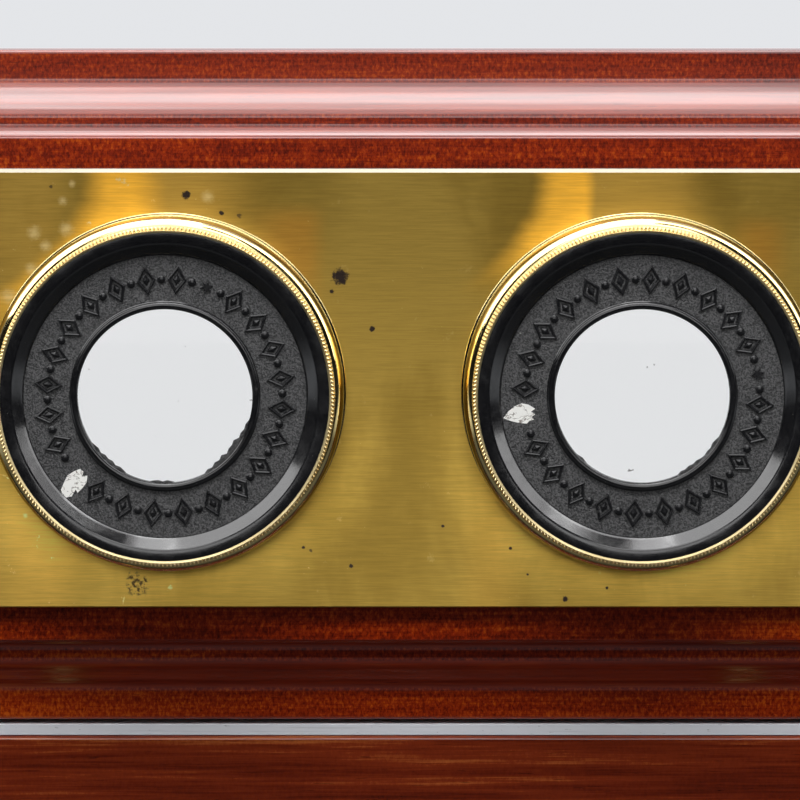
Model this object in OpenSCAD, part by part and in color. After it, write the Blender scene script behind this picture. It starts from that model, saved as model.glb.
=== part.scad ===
// Table stereoscope: a moulded lens panel with two achromatic eyepieces, racked in and out
// of a card viewer that tilts on a cabinet with a card drawer.
// Millimetres. +X right, +Y away from the user, +Z up. The origin is the centre of the
// cabinet's underside.

/* [Lens plate] */
// Distance between the two lens axes
lens_spacing = 66; // [62:0.5:70]
// Width of the brass lens plate
plate_w = 157; // [150:1:165]
// Height of the brass lens plate
plate_h = 61.5; // [60:0.5:66]
// Height of the plate's middle above the lens axes
plate_rise = 0.3; // [0:0.1:0.6]
// Thickness of the brass lens plate
plate_t = 1.6; // [1.2:0.1:2.4]
// Bevel round the front edge of the lens plate
plate_bevel = 0.5; // [0.3:0.1:0.8]
// Thickness of the wooden lens board behind the plate
lens_board_t = 7; // [5:0.5:9]

/* [Moulded frame] */
// Width of the moulding that shows round the plate
moulding_w = 16.85; // [15:0.05:20]
// Depth of the moulding at its inner flat
moulding_t = 14; // [12:0.5:18]
// Depth of the moulding at its outer lip
lip_t = 8.5; // [5:0.5:9]
// Width of the flat outer lip
lip_w = 4.5; // [3:0.1:5]
// Width of the flat that borders the plate
fillet_w = 4.65; // [3:0.05:5]
// Width of the hollow beside that flat
hollow_w = 2.1; // [1.5:0.1:3]
// Depth of the hollow below the flat
hollow_depth = 2.2; // [1.5:0.1:4]
// Width of the shelf between the hollow and the wave
shelf_w = 1.2; // [0.6:0.1:2]

/* [Viewer body] */
// Outer width of the viewer body
body_w = 180.6; // [176:0.2:184]
// Thickness of the body boards
body_wall = 5; // [4:0.25:6]
// Length of the body boards from the moulded frame to the card frame
body_len = 132; // [120:1:150]
// Thickness of the centre partition
septum_t = 2.5; // [2:0.1:4]

/* [Card holder] */
// Height of a stereo card
card_h = 82.5; // [80:0.5:85]
// Height to spare above a card
card_play = 0.7; // [0.4:0.1:1.2]
// Depth of the slot that a card slides into
card_slot = 6; // [5:0.25:8]
// Thickness of the rails above and below a card
card_rail_t = 1.5; // [1.2:0.1:2]
// Thickness of the card frame
card_frame_t = 8; // [6:0.5:10]
// Width of the window behind the picture pair
window_w = 150; // [144:1:152]
// Height of the window behind the picture pair
window_h = 70; // [66:1:72]
// Thickness of the rear door's frame
door_t = 6.5; // [5:0.5:8]
// Thickness of the ground glass
glass_t = 2; // [1.5:0.25:2.5]

/* [Eyepieces] */
// Radius of the flange where it meets the plate
flange_r = 25; // [24.6:0.1:26]
// Thickness of the flange's foot
flange_t = 0.8; // [0.6:0.1:1.2]
// Height of the polished socket above the plate
socket_h = 7.7; // [6:0.1:10]
// Outer radius of the milled ring
milled_r = 23.6; // [23.4:0.1:24.2]
// Radius of the black cell's front
cell_r = 22.5; // [22.2:0.1:22.8]
// Depth of the milled ring
milled_t = 2.5; // [2:0.1:3.5]
// Wall of the cell's tube round the lenses
cell_wall = 1.4; // [1:0.1:1.6]
// Outer radius of the flat ground inside the cell's slope
ground_r = 19.35; // [18.5:0.05:20]
// Width of the slope from the cell's rim down to the ground
slope_w = 1.5; // [1.2:0.1:2]
// Depth of that ground below the cell's front
ground_depth = 1.7; // [1.4:0.1:2.2]
// Radius of the eye opening
aperture_r = 12.1; // [10:0.1:14]
// Radius of the lenses
lens_r = 18.8; // [18:0.1:19]
// Number of teeth round the milled ring
milling_count = 96; // [48:1:120]

/* [Focusing] */
// Travel of the lens panel
focus_travel = 18; // [10:1:20]
// Module of the rack and pinion
gear_module = 0.75; // [0.7:0.05:0.8]
// Teeth on each pinion
pinion_teeth = 12; // [12:1:13]
// Width of each pinion and rack
rack_w = 5; // [4:0.5:6]
// Radius of the focusing shaft
shaft_r = 2; // [1.6:0.1:2.4]
// Radius of the focusing knobs
focus_knob_r = 9; // [7:0.5:10]
// Thickness of the focusing knobs
focus_knob_t = 8; // [6:0.5:12]

/* [Reflector flap] */
// Length of the flap from its hinge to its free edge
flap_len = 96; // [80:1:100]
// Thickness of the mirror let into the flap
mirror_t = 1.8; // [1.5:0.1:2.4]
// Width of the wooden border round the mirror
mirror_border = 10; // [7:0.5:14]

/* [Tilting] */
// Angle that the viewer tilts to
tilt_max = 30; // [20:1:35]
// Radius of the slotted quadrants about the tilt hinge
quadrant_r = 88; // [80:1:95]
// Width of each quadrant across its slot
quadrant_w = 10; // [9:0.5:12]
// Thickness of each quadrant
quadrant_t = 1.8; // [1.5:0.1:2.5]
// Radius of the clamp screws
clamp_r = 2; // [1.6:0.1:2.4]
// Radius of the clamp knobs
clamp_knob_r = 8; // [6:0.5:9]

/* [Cabinet] */
// Width of the cabinet's top
base_w = 212; // [208:1:230]
// Height of the cabinet, to the top of its top board
base_h = 62; // [54:1:80]
// Thickness of the cabinet's top board
top_t = 12; // [10:0.5:15]
// Thickness of the plinth board
plinth_t = 8; // [6:0.5:12]
// Distance that the plinth stands out past the cabinet
plinth_lip = 3; // [1:0.5:6]
// Thickness of the cabinet's sides and back
base_wall = 8; // [6:0.5:10]
// Distance that the cabinet's front stands before the frame's outer lip
ledge = 0.6; // [0:0.1:16]
// Height of the metal strip along the top board's front edge
sill_h = 1.6; // [1:0.1:3]
// Depth of that strip
sill_d = 6; // [4:0.5:10]
// Chamfer of the wood below that strip
sill_chamfer = 0.5; // [0.2:0.1:1]
// Thickness of the drawer's front
drawer_front_t = 8; // [6:0.5:10]
// Thickness of the drawer's sides and rear
drawer_wall = 5; // [4:0.5:7]
// Thickness of the drawer's floor
drawer_floor_t = 3; // [2:0.5:4]
// Height of the drawer's sides
drawer_side_h = 32; // [24:1:34]
// Distance between the two drawer knobs
drawer_knob_gap = 100; // [70:5:130]
// Radius of the drawer knobs
drawer_knob_r = 6.5; // [5:0.5:9]

/* [Hinges] */
// Thickness of every hinge leaf
leaf_t = 1.2; // [1:0.1:1.4]
// Radius of the tilt hinges' knuckles
tilt_knuckle_r = 2.6; // [2.4:0.1:3]
// Radius of the small hinges' knuckles
small_knuckle_r = 1.6; // [1.5:0.1:1.9]
// Radius of the hinge pins
hinge_pin_r = 0.8; // [0.6:0.05:0.9]
// Length of each hinge
hinge_len = 18; // [15:1:24]

/* [Hidden] */

$fn = 64;

// Clearances
seat_gap = 0.4;         // moulded frame above the cabinet's top
panel_gap = 0.2;        // lens plate in front of the moulded frame
slide_gap = 0.25;       // sleeve inside the moulded frame
running_gap = 0.05;     // shaft, pin and screw in their bores
thread_gap = 0.08;      // eyepiece tube in its socket
lens_gap = 0.2;         // lenses in the eyepiece tube
ring_gap = 0.2;         // eyepiece front above its socket
flap_gap = 0.4;         // flap from the boards round it
flap_seat = 0.3;        // flap above its ledges and the partition
door_gap = 0.3;         // rear door from the card rails
drawer_gap = 0.4;       // drawer from the cabinet
leaf_gap = 0.2;         // between the two leaves of a tilt hinge
knuckle_gap = 0.2;      // between the knuckles of a hinge
side_gap = 0.3;         // quadrant from the body's side
pinion_gap = 0.4;       // pinion above the body's floor

// Sleeve, sized from the socket nuts that it has to clear
nut_wall = 1;
nut_t = 2.5;
nut_gap = 0.2;
sleeve_wall = 3.2;
lens_wall_r = lens_r + lens_gap;
cell_tube_r = lens_wall_r + cell_wall;
socket_bore_r = cell_tube_r + thread_gap;
socket_tube_r = socket_bore_r + 1.4;
nut_r = socket_tube_r + nut_wall;
sleeve_h = 2 * (nut_r + nut_gap + sleeve_wall);
opening_h = sleeve_h + 2 * slide_gap;
frame_lap = (plate_h - opening_h) / 2;
opening_w = plate_w - 2 * frame_lap;
sleeve_w = opening_w - 2 * slide_gap;

// Moulded frame
frame_w = plate_w + 2 * moulding_w;
frame_h = plate_h + 2 * moulding_w;
bar_w = moulding_w + frame_lap;

// Depths along Y
card_rail_y = card_frame_t + card_slot;
base_d = ledge + lip_t + body_len + card_rail_y;
base_front = -base_d / 2;
base_rear = base_d / 2;
frame_back = base_front + ledge + lip_t;
fillet_front = frame_back - moulding_t;
plate_back = fillet_front - panel_gap;
plate_front = plate_back - plate_t;
card_frame_front = frame_back + body_len;
slot_front = card_frame_front + card_frame_t;
door_front = base_rear + door_gap;

// Heights
frame_low = base_h + seat_gap;
frame_high = frame_low + frame_h;
axis_z = frame_low + frame_h / 2;
body_low = base_h + 2 * leaf_t + leaf_gap;
body_h = card_h + card_play + 2 * card_rail_t;
body_high = body_low + body_h;
body_inner_w = body_w - 2 * body_wall;
body_side = body_w / 2;
card_z = body_low + body_h / 2;

// Rack and pinion
pressure_angle = 25;
gear_backlash = 0.12;
rack_back_t = 2;
rack_margin = 1.2;
rack_inset = 10;
mesh_lead = 3.5;
pitch = PI * gear_module;
pinion_r = pinion_teeth * gear_module / 2;
sleeve_low = axis_z - sleeve_h / 2;
rack_pitch_z = sleeve_low - rack_back_t - gear_module;
shaft_z = rack_pitch_z - pinion_r;
rack_front = frame_back + focus_travel + rack_margin;
shaft_y = rack_front + mesh_lead;
rack_len = focus_travel + 2 * mesh_lead;
sleeve_back = rack_front + rack_len + rack_margin;
rack_x = sleeve_w / 2 - rack_inset;
guide_t = 6;
guide_front = frame_back + guide_t;
bush_r = 4;
bush_lip = 1.2;

// Flap and its hinges
flap_strip_w = 14;
flap_front = frame_back + flap_strip_w;
flap_back = flap_front + flap_len;
flap_w = body_inner_w - 2 * flap_gap;
flap_low = body_high - body_wall;
flap_axis_y = flap_front - flap_gap / 2;
small_axis_z = body_high + small_knuckle_r + running_gap;
small_leaf_w = 9;
flap_hinge_x = 50;
door_axis_y = base_rear + door_gap / 2;
door_hinge_x = 78;

// Rear door
door_low = body_low + 3.6;
glass_lap = 2.5;
spring_t = 0.5;
spring_rise = 1.3;
spring_h = 34;
spring_w = 6;
spring_x = (body_side + window_w / 2 + glass_lap) / 2;

// Tilt hinge, quadrants and clamps
tilt_axis_y = base_rear + tilt_knuckle_r + leaf_gap / 2;
tilt_axis_z = base_h + leaf_t + leaf_gap / 2;
tilt_leaf_w = 16;
tilt_hinge_x = 62;
clamp_angle = 16;
slot_clearance = 0.25;
slot_margin = 3;
quadrant_in = body_side + side_gap;
quadrant_out = quadrant_in + quadrant_t;
quadrant_tail = 9;
quadrant_end = clamp_angle + tilt_max + quadrant_tail;
foot_w = 13;
foot_len = 22;
foot_t = 2;
foot_front = tilt_axis_y - quadrant_r - foot_len / 2;
screw_r = 1.3;
screw_head_r = 2.4;
screw_head_h = 1.2;
screw_len = 8;
screw_inset = 5;
clamp_y = tilt_axis_y - quadrant_r * cos(clamp_angle);
clamp_z = tilt_axis_z + quadrant_r * sin(clamp_angle);
clamp_knob_t = 8;

// Cabinet
bay_low = plinth_t;
bay_high = base_h - top_t;
bay_w = base_w - 2 * base_wall;
drawer_w = bay_w - 2 * drawer_gap;
drawer_low = bay_low + drawer_gap;
drawer_front_h = bay_high - bay_low - 2 * drawer_gap;
drawer_side_len = base_d - drawer_front_t - base_wall - 2 * drawer_gap - drawer_wall;
drawer_knob_z = (bay_low + bay_high) / 2;
sill_inset = 0.3;

// Colours
mahogany = "#8a3512";
dark_mahogany = "#6b2410";
drawer_wood = "#a8663a";
brass = "#b8923c";
polished_brass = "#d8b357";
ebonite = "#1c1c1e";
blackened = "#222222";

// General shapes

// Box given by its lowest and highest corners.
module block(low, high) {
    translate(low) cube(high - low);
}

// A copy on each side of the middle plane.
module both_sides() {
    children();
    mirror([1, 0, 0]) children();
}

// Solid of revolution about a line along Y: the outline holds [radius, distance forward].
module turned_forward(at, outline) {
    translate(at) rotate([90, 0, 0]) rotate_extrude() polygon(outline);
}

// Solid of revolution about a line along +X: the outline holds [radius, distance outward].
module turned_outward(at, outline) {
    translate(at) rotate([0, 90, 0]) rotate_extrude() polygon(outline);
}

module rod_x(x_low, x_high, y, z, r) {
    translate([x_low, y, z]) rotate([0, 90, 0]) cylinder(h = x_high - x_low, r = r);
}

// Hinge leaf lying towards +Y of an axis along X at the origin, centred on x = 0, with its
// underside at leaf_low. The outer leaf has the two end knuckles and the inner one the middle.
module hinge_leaf(knuckle_r, leaf_low, leaf_w, outer) {
    third = hinge_len / 3;
    leaf_start = knuckle_r + knuckle_gap;
    spans = outer
        ? [[-hinge_len / 2, -third / 2 - knuckle_gap / 2], [third / 2 + knuckle_gap / 2, hinge_len / 2]]
        : [[-third / 2 + knuckle_gap / 2, third / 2 - knuckle_gap / 2]];
    difference() {
        union() {
            block([-hinge_len / 2, leaf_start, leaf_low], [hinge_len / 2, leaf_w, leaf_low + leaf_t]);
            for (s = spans) {
                block([s[0], 0, leaf_low], [s[1], leaf_start, leaf_low + leaf_t]);
                rod_x(s[0], s[1], 0, 0, knuckle_r);
            }
        }
        rod_x(-hinge_len, hinge_len, 0, 0, hinge_pin_r + running_gap);
    }
}

module hinge_pin() {
    rod_x(-hinge_len / 2, hinge_len / 2, 0, 0, hinge_pin_r);
}

// Moulded frame

// Section of the moulding: x runs in from the outer edge and y forward from the back. From the
// outer edge come a flat lip, a wave, a shelf, a hollow and the flat that borders the plate.
flat_start = moulding_w - fillet_w;
shelf_end = flat_start - hollow_w;
shelf_start = shelf_end - shelf_w;
shelf_front = moulding_t - hollow_depth;
quirk_h = 0.6;
lip_round = 0.5;
moulding_section = concat(
    [[0, 0], [0, lip_t - lip_round], [lip_round, lip_t]],
    [for (t = [0:0.1:1]) [
        lip_w + (shelf_start - lip_w) * t,
        lip_t + (shelf_front - lip_t) * (1 - cos(180 * t)) / 2,
    ]],
    [for (a = [25:13:90]) [
        flat_start - hollow_w * (1 - sin(a)) / (1 - sin(25)),
        moulding_t - quirk_h - (hollow_depth - quirk_h) * cos(a) / cos(25),
    ]],
    [[flat_start, moulding_t - 0.15], [flat_start + 0.15, moulding_t],
     [bar_w, moulding_t], [bar_w, 0]]
);

module moulding_bar(length) {
    linear_extrude(height = length, center = true) polygon(moulding_section);
}

// Trapezoid that a bar with mitred ends keeps, seen from the front.
module mitre(half_long, half_high) {
    translate([0, frame_back + 1, axis_z]) rotate([90, 0, 0])
        linear_extrude(height = moulding_t + 2)
            polygon([[-half_long, half_high], [half_long, half_high],
                     [half_long - bar_w, half_high - bar_w], [-half_long + bar_w, half_high - bar_w]]);
}

module side_mitre(half_wide, half_tall) {
    translate([0, frame_back + 1, axis_z]) rotate([90, 0, 0])
        linear_extrude(height = moulding_t + 2)
            polygon([[-half_wide, -half_tall], [-half_wide + bar_w, -half_tall + bar_w],
                     [-half_wide + bar_w, half_tall - bar_w], [-half_wide, half_tall]]);
}

module frame_top_rail() {
    color(mahogany) intersection() {
        translate([0, frame_back, frame_high]) rotate([0, 90, 180]) moulding_bar(frame_w + 2);
        mitre(frame_w / 2, frame_h / 2);
    }
}

module frame_bottom_rail() {
    color(mahogany) intersection() {
        translate([0, frame_back, frame_low]) rotate([0, -90, 180]) moulding_bar(frame_w + 2);
        translate([0, 0, 2 * axis_z]) mirror([0, 0, 1]) mitre(frame_w / 2, frame_h / 2);
    }
}

module left_stile() {
    intersection() {
        translate([-frame_w / 2, frame_back, axis_z]) rotate([180, 0, 0]) moulding_bar(frame_h + 2);
        side_mitre(frame_w / 2, frame_h / 2);
    }
}

module frame_left_stile() {
    color(mahogany) left_stile();
}

module frame_right_stile() {
    color(mahogany) mirror([1, 0, 0]) left_stile();
}

// Viewer body

module body_side_board() {
    difference() {
        block([body_side - body_wall, frame_back, body_low], [body_side, card_frame_front, body_high]);
        rod_x(body_side - body_wall - 1, body_side + 1, shaft_y, shaft_z, bush_r);
        rod_x(body_side - body_wall - 1, body_side + 1, clamp_y, clamp_z, bush_r);
    }
}

module body_sides() {
    color(mahogany) both_sides() body_side_board();
}

// The floor is hollowed under the pinions where they would come within pinion_gap of it.
module body_floor() {
    tip_r = pinion_r + gear_module;
    relief_w = rack_w / 2 + 1;
    color(dark_mahogany) difference() {
        block([-body_inner_w / 2, frame_back, body_low],
              [body_inner_w / 2, card_frame_front, body_low + body_wall]);
        both_sides() rod_x(rack_x - relief_w, rack_x + relief_w, shaft_y, shaft_z, tip_r + pinion_gap);
    }
}

// Strips of the body's top before and behind the flap. The rear one has a finger notch.
module body_top_strips() {
    notch_r = 9;
    color(mahogany) {
        block([-body_inner_w / 2, frame_back, flap_low],
              [body_inner_w / 2, flap_front - flap_gap, body_high]);
        difference() {
            block([-body_inner_w / 2, flap_back + flap_gap, flap_low],
                  [body_inner_w / 2, card_frame_front, body_high]);
            translate([0, flap_back + flap_gap, body_high - body_wall / 2])
                cylinder(h = body_wall, r = notch_r);
        }
    }
}

// Bars round the sleeve that guide it. The lower one lets the racks through.
module sleeve_guides() {
    guide_low = body_low + body_wall;
    hole_w = opening_w / 2;
    hole_h = opening_h / 2;
    rack_cut = rack_w / 2 + 0.6;
    color(blackened) {
        block([-body_inner_w / 2, guide_front, axis_z + hole_h],
              [body_inner_w / 2, guide_front + guide_t, flap_low]);
        difference() {
            block([-body_inner_w / 2, guide_front, guide_low],
                  [body_inner_w / 2, guide_front + guide_t, axis_z - hole_h]);
            both_sides() block([rack_x - rack_cut, guide_front - 1, rack_pitch_z - 2 * gear_module],
                               [rack_x + rack_cut, guide_front + guide_t + 1, axis_z]);
        }
        both_sides() block([hole_w, guide_front, axis_z - hole_h],
                           [body_inner_w / 2, guide_front + guide_t, axis_z + hole_h]);
    }
}

module septum() {
    color(blackened)
        block([-septum_t / 2, sleeve_back + 1.5, body_low + body_wall],
              [septum_t / 2, card_frame_front, flap_low - flap_seat]);
}

// Four boards round a window: rails run the full width.
module window_frame(y_front, depth, low, high) {
    half_h = window_h / 2;
    half_w = window_w / 2;
    block([-body_side, y_front, card_z + half_h], [body_side, y_front + depth, high]);
    block([-body_side, y_front, low], [body_side, y_front + depth, card_z - half_h]);
    both_sides() block([half_w, y_front, card_z - half_h], [body_side, y_front + depth, card_z + half_h]);
}

module card_frame() {
    color(mahogany) window_frame(card_frame_front, card_frame_t, body_low, body_high);
}

module card_rails() {
    color(mahogany) {
        block([-body_side, slot_front, body_low], [body_side, base_rear, body_low + card_rail_t]);
        block([-body_side, slot_front, body_high - card_rail_t], [body_side, base_rear, body_high]);
    }
}

// Strips under the flap's long edges.
module flap_ledges() {
    ledge_w = 4;
    ledge_t = 3;
    color(blackened) both_sides()
        block([body_inner_w / 2 - ledge_w, guide_front + guide_t, flap_low - flap_seat - ledge_t],
              [body_inner_w / 2, card_frame_front, flap_low - flap_seat]);
}

// Hinges

module at_flap_hinges() {
    for (x = [-flap_hinge_x, flap_hinge_x]) translate([x, flap_axis_y, small_axis_z]) children();
}

module at_door_hinges() {
    for (x = [-door_hinge_x, door_hinge_x]) translate([x, door_axis_y, small_axis_z]) children();
}

module at_tilt_hinges() {
    for (x = [-tilt_hinge_x, tilt_hinge_x]) translate([x, tilt_axis_y, tilt_axis_z]) children();
}

small_leaf_low = body_high - small_axis_z;

module flap_hinge_fixed() {
    color(brass) at_flap_hinges() rotate([0, 0, 180])
        hinge_leaf(small_knuckle_r, small_leaf_low, small_leaf_w, true);
}

module flap_hinge_moving() {
    color(brass) at_flap_hinges() hinge_leaf(small_knuckle_r, small_leaf_low, small_leaf_w, false);
}

module door_hinge_fixed() {
    color(brass) at_door_hinges() rotate([0, 0, 180])
        hinge_leaf(small_knuckle_r, small_leaf_low, small_leaf_w, true);
}

module door_hinge_moving() {
    color(brass) at_door_hinges()
        hinge_leaf(small_knuckle_r, small_leaf_low, door_gap / 2 + door_t - 0.5, false);
}

module small_hinge_pins() {
    color(brass) {
        at_flap_hinges() hinge_pin();
        at_door_hinges() hinge_pin();
    }
}

module tilt_hinge_lower() {
    color(brass) at_tilt_hinges() rotate([0, 0, 180])
        hinge_leaf(tilt_knuckle_r, -leaf_t - leaf_gap / 2, tilt_leaf_w, true);
}

module tilt_hinge_upper() {
    color(brass) at_tilt_hinges() rotate([0, 0, 180])
        hinge_leaf(tilt_knuckle_r, leaf_gap / 2, tilt_leaf_w, false);
}

module tilt_hinge_pins() {
    color(brass) at_tilt_hinges() hinge_pin();
}

// Lens panel

module lens_plate() {
    half_w = plate_w / 2;
    low = axis_z + plate_rise - plate_h / 2;
    high = low + plate_h;
    b = plate_bevel;
    color(brass) difference() {
        intersection() {
            rotate([90, 0, 90]) linear_extrude(height = plate_w, center = true)
                polygon([[plate_back, low], [plate_front + b, low], [plate_front, low + b],
                         [plate_front, high - b], [plate_front + b, high], [plate_back, high]]);
            linear_extrude(height = axis_z + plate_h)
                polygon([[-half_w, plate_back], [-half_w, plate_front + b], [-half_w + b, plate_front],
                         [half_w - b, plate_front], [half_w, plate_front + b], [half_w, plate_back]]);
        }
        both_sides() translate([lens_spacing / 2, plate_back + 1, axis_z]) rotate([90, 0, 0])
            cylinder(h = plate_t + 2, r = socket_tube_r);
    }
}

module lens_board() {
    half_w = sleeve_w / 2 - sleeve_wall;
    half_h = sleeve_h / 2 - sleeve_wall;
    color(dark_mahogany) difference() {
        block([-half_w, plate_back, axis_z - half_h], [half_w, plate_back + lens_board_t, axis_z + half_h]);
        both_sides() translate([lens_spacing / 2, plate_back + lens_board_t + 1, axis_z])
            rotate([90, 0, 0]) cylinder(h = lens_board_t + 2, r = socket_tube_r);
    }
}

// Open box behind the lens board: top and bottom boards between two full-height cheeks.
module lens_sleeve() {
    half_w = sleeve_w / 2;
    half_h = sleeve_h / 2;
    inner_w = half_w - sleeve_wall;
    color(blackened) {
        both_sides() block([inner_w, plate_back, axis_z - half_h], [half_w, sleeve_back, axis_z + half_h]);
        for (side = [0, 1])
            translate([0, 0, side * (sleeve_h - sleeve_wall)])
                block([-inner_w, plate_back, axis_z - half_h],
                      [inner_w, sleeve_back, axis_z - half_h + sleeve_wall]);
    }
}

// Rack under the sleeve: a back strip with straight-sided teeth pointing down.
module rack() {
    tip = gear_module * tan(pressure_angle);
    root = 1.25 * tip;
    half_tooth = pitch / 4 - gear_backlash / 2;
    count = floor((rack_len - pitch) / pitch);
    first = ceil((rack_front - shaft_y) / pitch - 0.5 + 0.35);
    translate([rack_x - rack_w / 2, 0, 0]) {
        block([0, rack_front, rack_pitch_z + 1.25 * gear_module],
              [rack_w, rack_front + rack_len, sleeve_low]);
        rotate([90, 0, 90]) linear_extrude(height = rack_w)
            for (k = [first:first + count])
                translate([shaft_y + (k + 0.5) * pitch, rack_pitch_z])
                    polygon([[-half_tooth - root, 1.25 * gear_module + 0.01],
                             [-half_tooth + tip, -gear_module], [half_tooth - tip, -gear_module],
                             [half_tooth + root, 1.25 * gear_module + 0.01]]);
    }
}

module racks() {
    color(brass) both_sides() rack();
}

// Polished socket: a flange on the plate, a rounded barrel and a tube through the board.
module socket(x) {
    tube_back = -plate_t - lens_board_t - nut_t;
    barrel_top_r = milled_r - 0.3;
    barrel_foot_r = flange_r - 0.4;
    turned_forward([x, plate_front, axis_z], concat(
        [[socket_bore_r, tube_back], [socket_tube_r, tube_back], [socket_tube_r, 0],
         [flange_r, 0], [flange_r, flange_t], [barrel_foot_r, flange_t]],
        [for (a = [10:10:90]) [
            barrel_foot_r - (barrel_foot_r - barrel_top_r) * (1 - cos(a)),
            flange_t + (socket_h - flange_t) * sin(a),
        ]],
        [[socket_bore_r, socket_h]]
    ));
}

module socket_left() {
    color(polished_brass) socket(-lens_spacing / 2);
}

module socket_right() {
    color(polished_brass) socket(lens_spacing / 2);
}

module socket_nuts() {
    color(brass) both_sides()
        turned_forward([lens_spacing / 2, plate_back + lens_board_t, axis_z],
                       [[socket_tube_r, -nut_t], [nut_r, -nut_t], [nut_r, 0], [socket_tube_r, 0]]);
}

// Eyepieces

eye_back = socket_h + ring_gap;
eye_front = eye_back + milled_t;
ring_facets = 240;

// Ring with a milled edge round the black cell.
module milled_ring(x) {
    tooth = 0.25;
    lip = 0.6;
    translate([x, plate_front - eye_back, axis_z]) rotate([90, 0, 0]) difference() {
        union() {
            linear_extrude(height = milled_t - lip)
                polygon([for (k = [0:2 * milling_count - 1])
                    let (r = milled_r - (k % 2) * tooth, a = k * 180 / milling_count)
                    [r * cos(a), r * sin(a)]]);
            cylinder(h = milled_t, r = milled_r - tooth - 0.1, $fn = ring_facets);
        }
        translate([0, 0, -1]) cylinder(h = milled_t + 2, r = cell_r, $fn = ring_facets);
    }
}

module milled_ring_left() {
    color(polished_brass) milled_ring(-lens_spacing / 2);
}

module milled_ring_right() {
    color(polished_brass) milled_ring(lens_spacing / 2);
}

// Black cell: a rim, a glossy slope down to a flat ground, a bead round the eye opening and a tube.
cell_front = eye_front - 0.2;
rim_dip = 0.15;
ground_level = cell_front - ground_depth;
stop_level = ground_level - 1.5;
cell_back = -plate_t - lens_board_t + 1;
bead_w = 1;
bead_h = 0.6;

module eye_cell(x) {
    turned_forward([x, plate_front, axis_z], concat(
        [[cell_tube_r, cell_back], [cell_tube_r, eye_back], [cell_r, eye_back], [cell_r, cell_front - 0.2],
         [cell_r - 0.2, cell_front], [ground_r + slope_w, cell_front - rim_dip],
         [ground_r + slope_w * 0.6, cell_front - rim_dip - (ground_depth - rim_dip) * 0.34],
         [ground_r, ground_level], [aperture_r + bead_w, ground_level],
         [aperture_r + bead_w, ground_level + bead_h / 2]],
        [for (a = [30:30:150]) [
            aperture_r + bead_w / 2 * (1 + cos(a)),
            ground_level + bead_h / 2 + bead_h / 2 * sin(a),
        ]],
        [[aperture_r, stop_level], [lens_wall_r, stop_level], [lens_wall_r, cell_back]]
    ));
}

module eye_cell_left() {
    color(ebonite) eye_cell(-lens_spacing / 2);
}

module eye_cell_right() {
    color(ebonite) eye_cell(lens_spacing / 2);
}

// Achromatic doublet: a biconvex crown lens and, 0.05 mm behind it, a plano-concave flint.
crown_front_r = 95;
crown_back_r = 90;
crown_edge = 1.6;
flint_edge = 4.2;
cement_gap = 0.05;

// Depth of a spherical cap.
function sag(sphere_r, rim_r) = sphere_r - sqrt(pow(sphere_r, 2) - pow(rim_r, 2));

// The crown's front seats on the rim of the eye opening.
crown_front_edge = stop_level - cement_gap - sag(crown_front_r, lens_r) + sag(crown_front_r, aperture_r);
crown_back_edge = crown_front_edge - crown_edge;

module doublet(x) {
    front_sag = sag(crown_front_r, lens_r);
    back_sag = sag(crown_back_r, lens_r);
    front_edge = crown_front_edge;
    back_edge = crown_back_edge;
    translate([x, plate_front, axis_z]) rotate([90, 0, 0]) {
        intersection() {
            translate([0, 0, back_edge - back_sag])
                cylinder(h = front_sag + crown_edge + back_sag, r = lens_r);
            translate([0, 0, front_edge + front_sag - crown_front_r]) sphere(r = crown_front_r, $fn = 96);
            translate([0, 0, back_edge - back_sag + crown_back_r]) sphere(r = crown_back_r, $fn = 96);
        }
        difference() {
            translate([0, 0, back_edge - flint_edge]) cylinder(h = flint_edge, r = lens_r);
            translate([0, 0, back_edge - back_sag + crown_back_r - cement_gap])
                sphere(r = crown_back_r, $fn = 96);
        }
    }
}

module doublet_left() {
    color("lightcyan", 0.5) doublet(-lens_spacing / 2);
}

module doublet_right() {
    color("lightcyan", 0.5) doublet(lens_spacing / 2);
}

// Ring that holds the doublet in the tube.
module lens_retainer(x) {
    seat = crown_back_edge - flint_edge;
    ring_t = 2;
    inner_r = lens_r - 2;
    turned_forward([x, plate_front, axis_z],
                   [[inner_r, seat - ring_t], [lens_wall_r, seat - ring_t], [lens_wall_r, seat], [inner_r, seat]]);
}

module lens_retainer_left() {
    color(brass) lens_retainer(-lens_spacing / 2);
}

module lens_retainer_right() {
    color(brass) lens_retainer(lens_spacing / 2);
}

// Focusing shaft

function involute(a) = tan(a) - a * PI / 180;

// Half the angle, in degrees, that a pinion tooth fills at a radius.
function half_tooth_angle(radius) =
    let (
        base_r = pinion_r * cos(pressure_angle),
        at = acos(min(1, base_r / max(radius, base_r)))
    )
    (PI / 2 / pinion_teeth - gear_backlash / 2 / pinion_r
        + involute(pressure_angle) - involute(at)) * 180 / PI;

module pinion_outline() {
    root_r = pinion_r - 1.25 * gear_module;
    tip_r = pinion_r + gear_module;
    base_r = pinion_r * cos(pressure_angle);
    radii = [root_r, base_r, (base_r + pinion_r) / 2, pinion_r, (pinion_r + tip_r) / 2, tip_r];
    last = len(radii) - 1;
    polygon([for (tooth = [0:pinion_teeth - 1], side = [-1, 1], k = [0:last])
        let (
            r = radii[side < 0 ? k : last - k],
            a = 90 + tooth * 360 / pinion_teeth + side * half_tooth_angle(r)
        )
        [r * cos(a), r * sin(a)]]);
}

module pinions() {
    color(brass) both_sides()
        translate([rack_x - rack_w / 2, shaft_y, shaft_z]) rotate([90, 0, 90]) difference() {
            linear_extrude(height = rack_w) pinion_outline();
            translate([0, 0, -1]) cylinder(h = rack_w + 2, r = shaft_r);
        }
}

knob_face = body_side + bush_lip + 0.5;

module focus_shaft() {
    color("silver")
        rod_x(-knob_face - focus_knob_t + 2, knob_face + focus_knob_t - 2, shaft_y, shaft_z, shaft_r);
}

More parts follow.
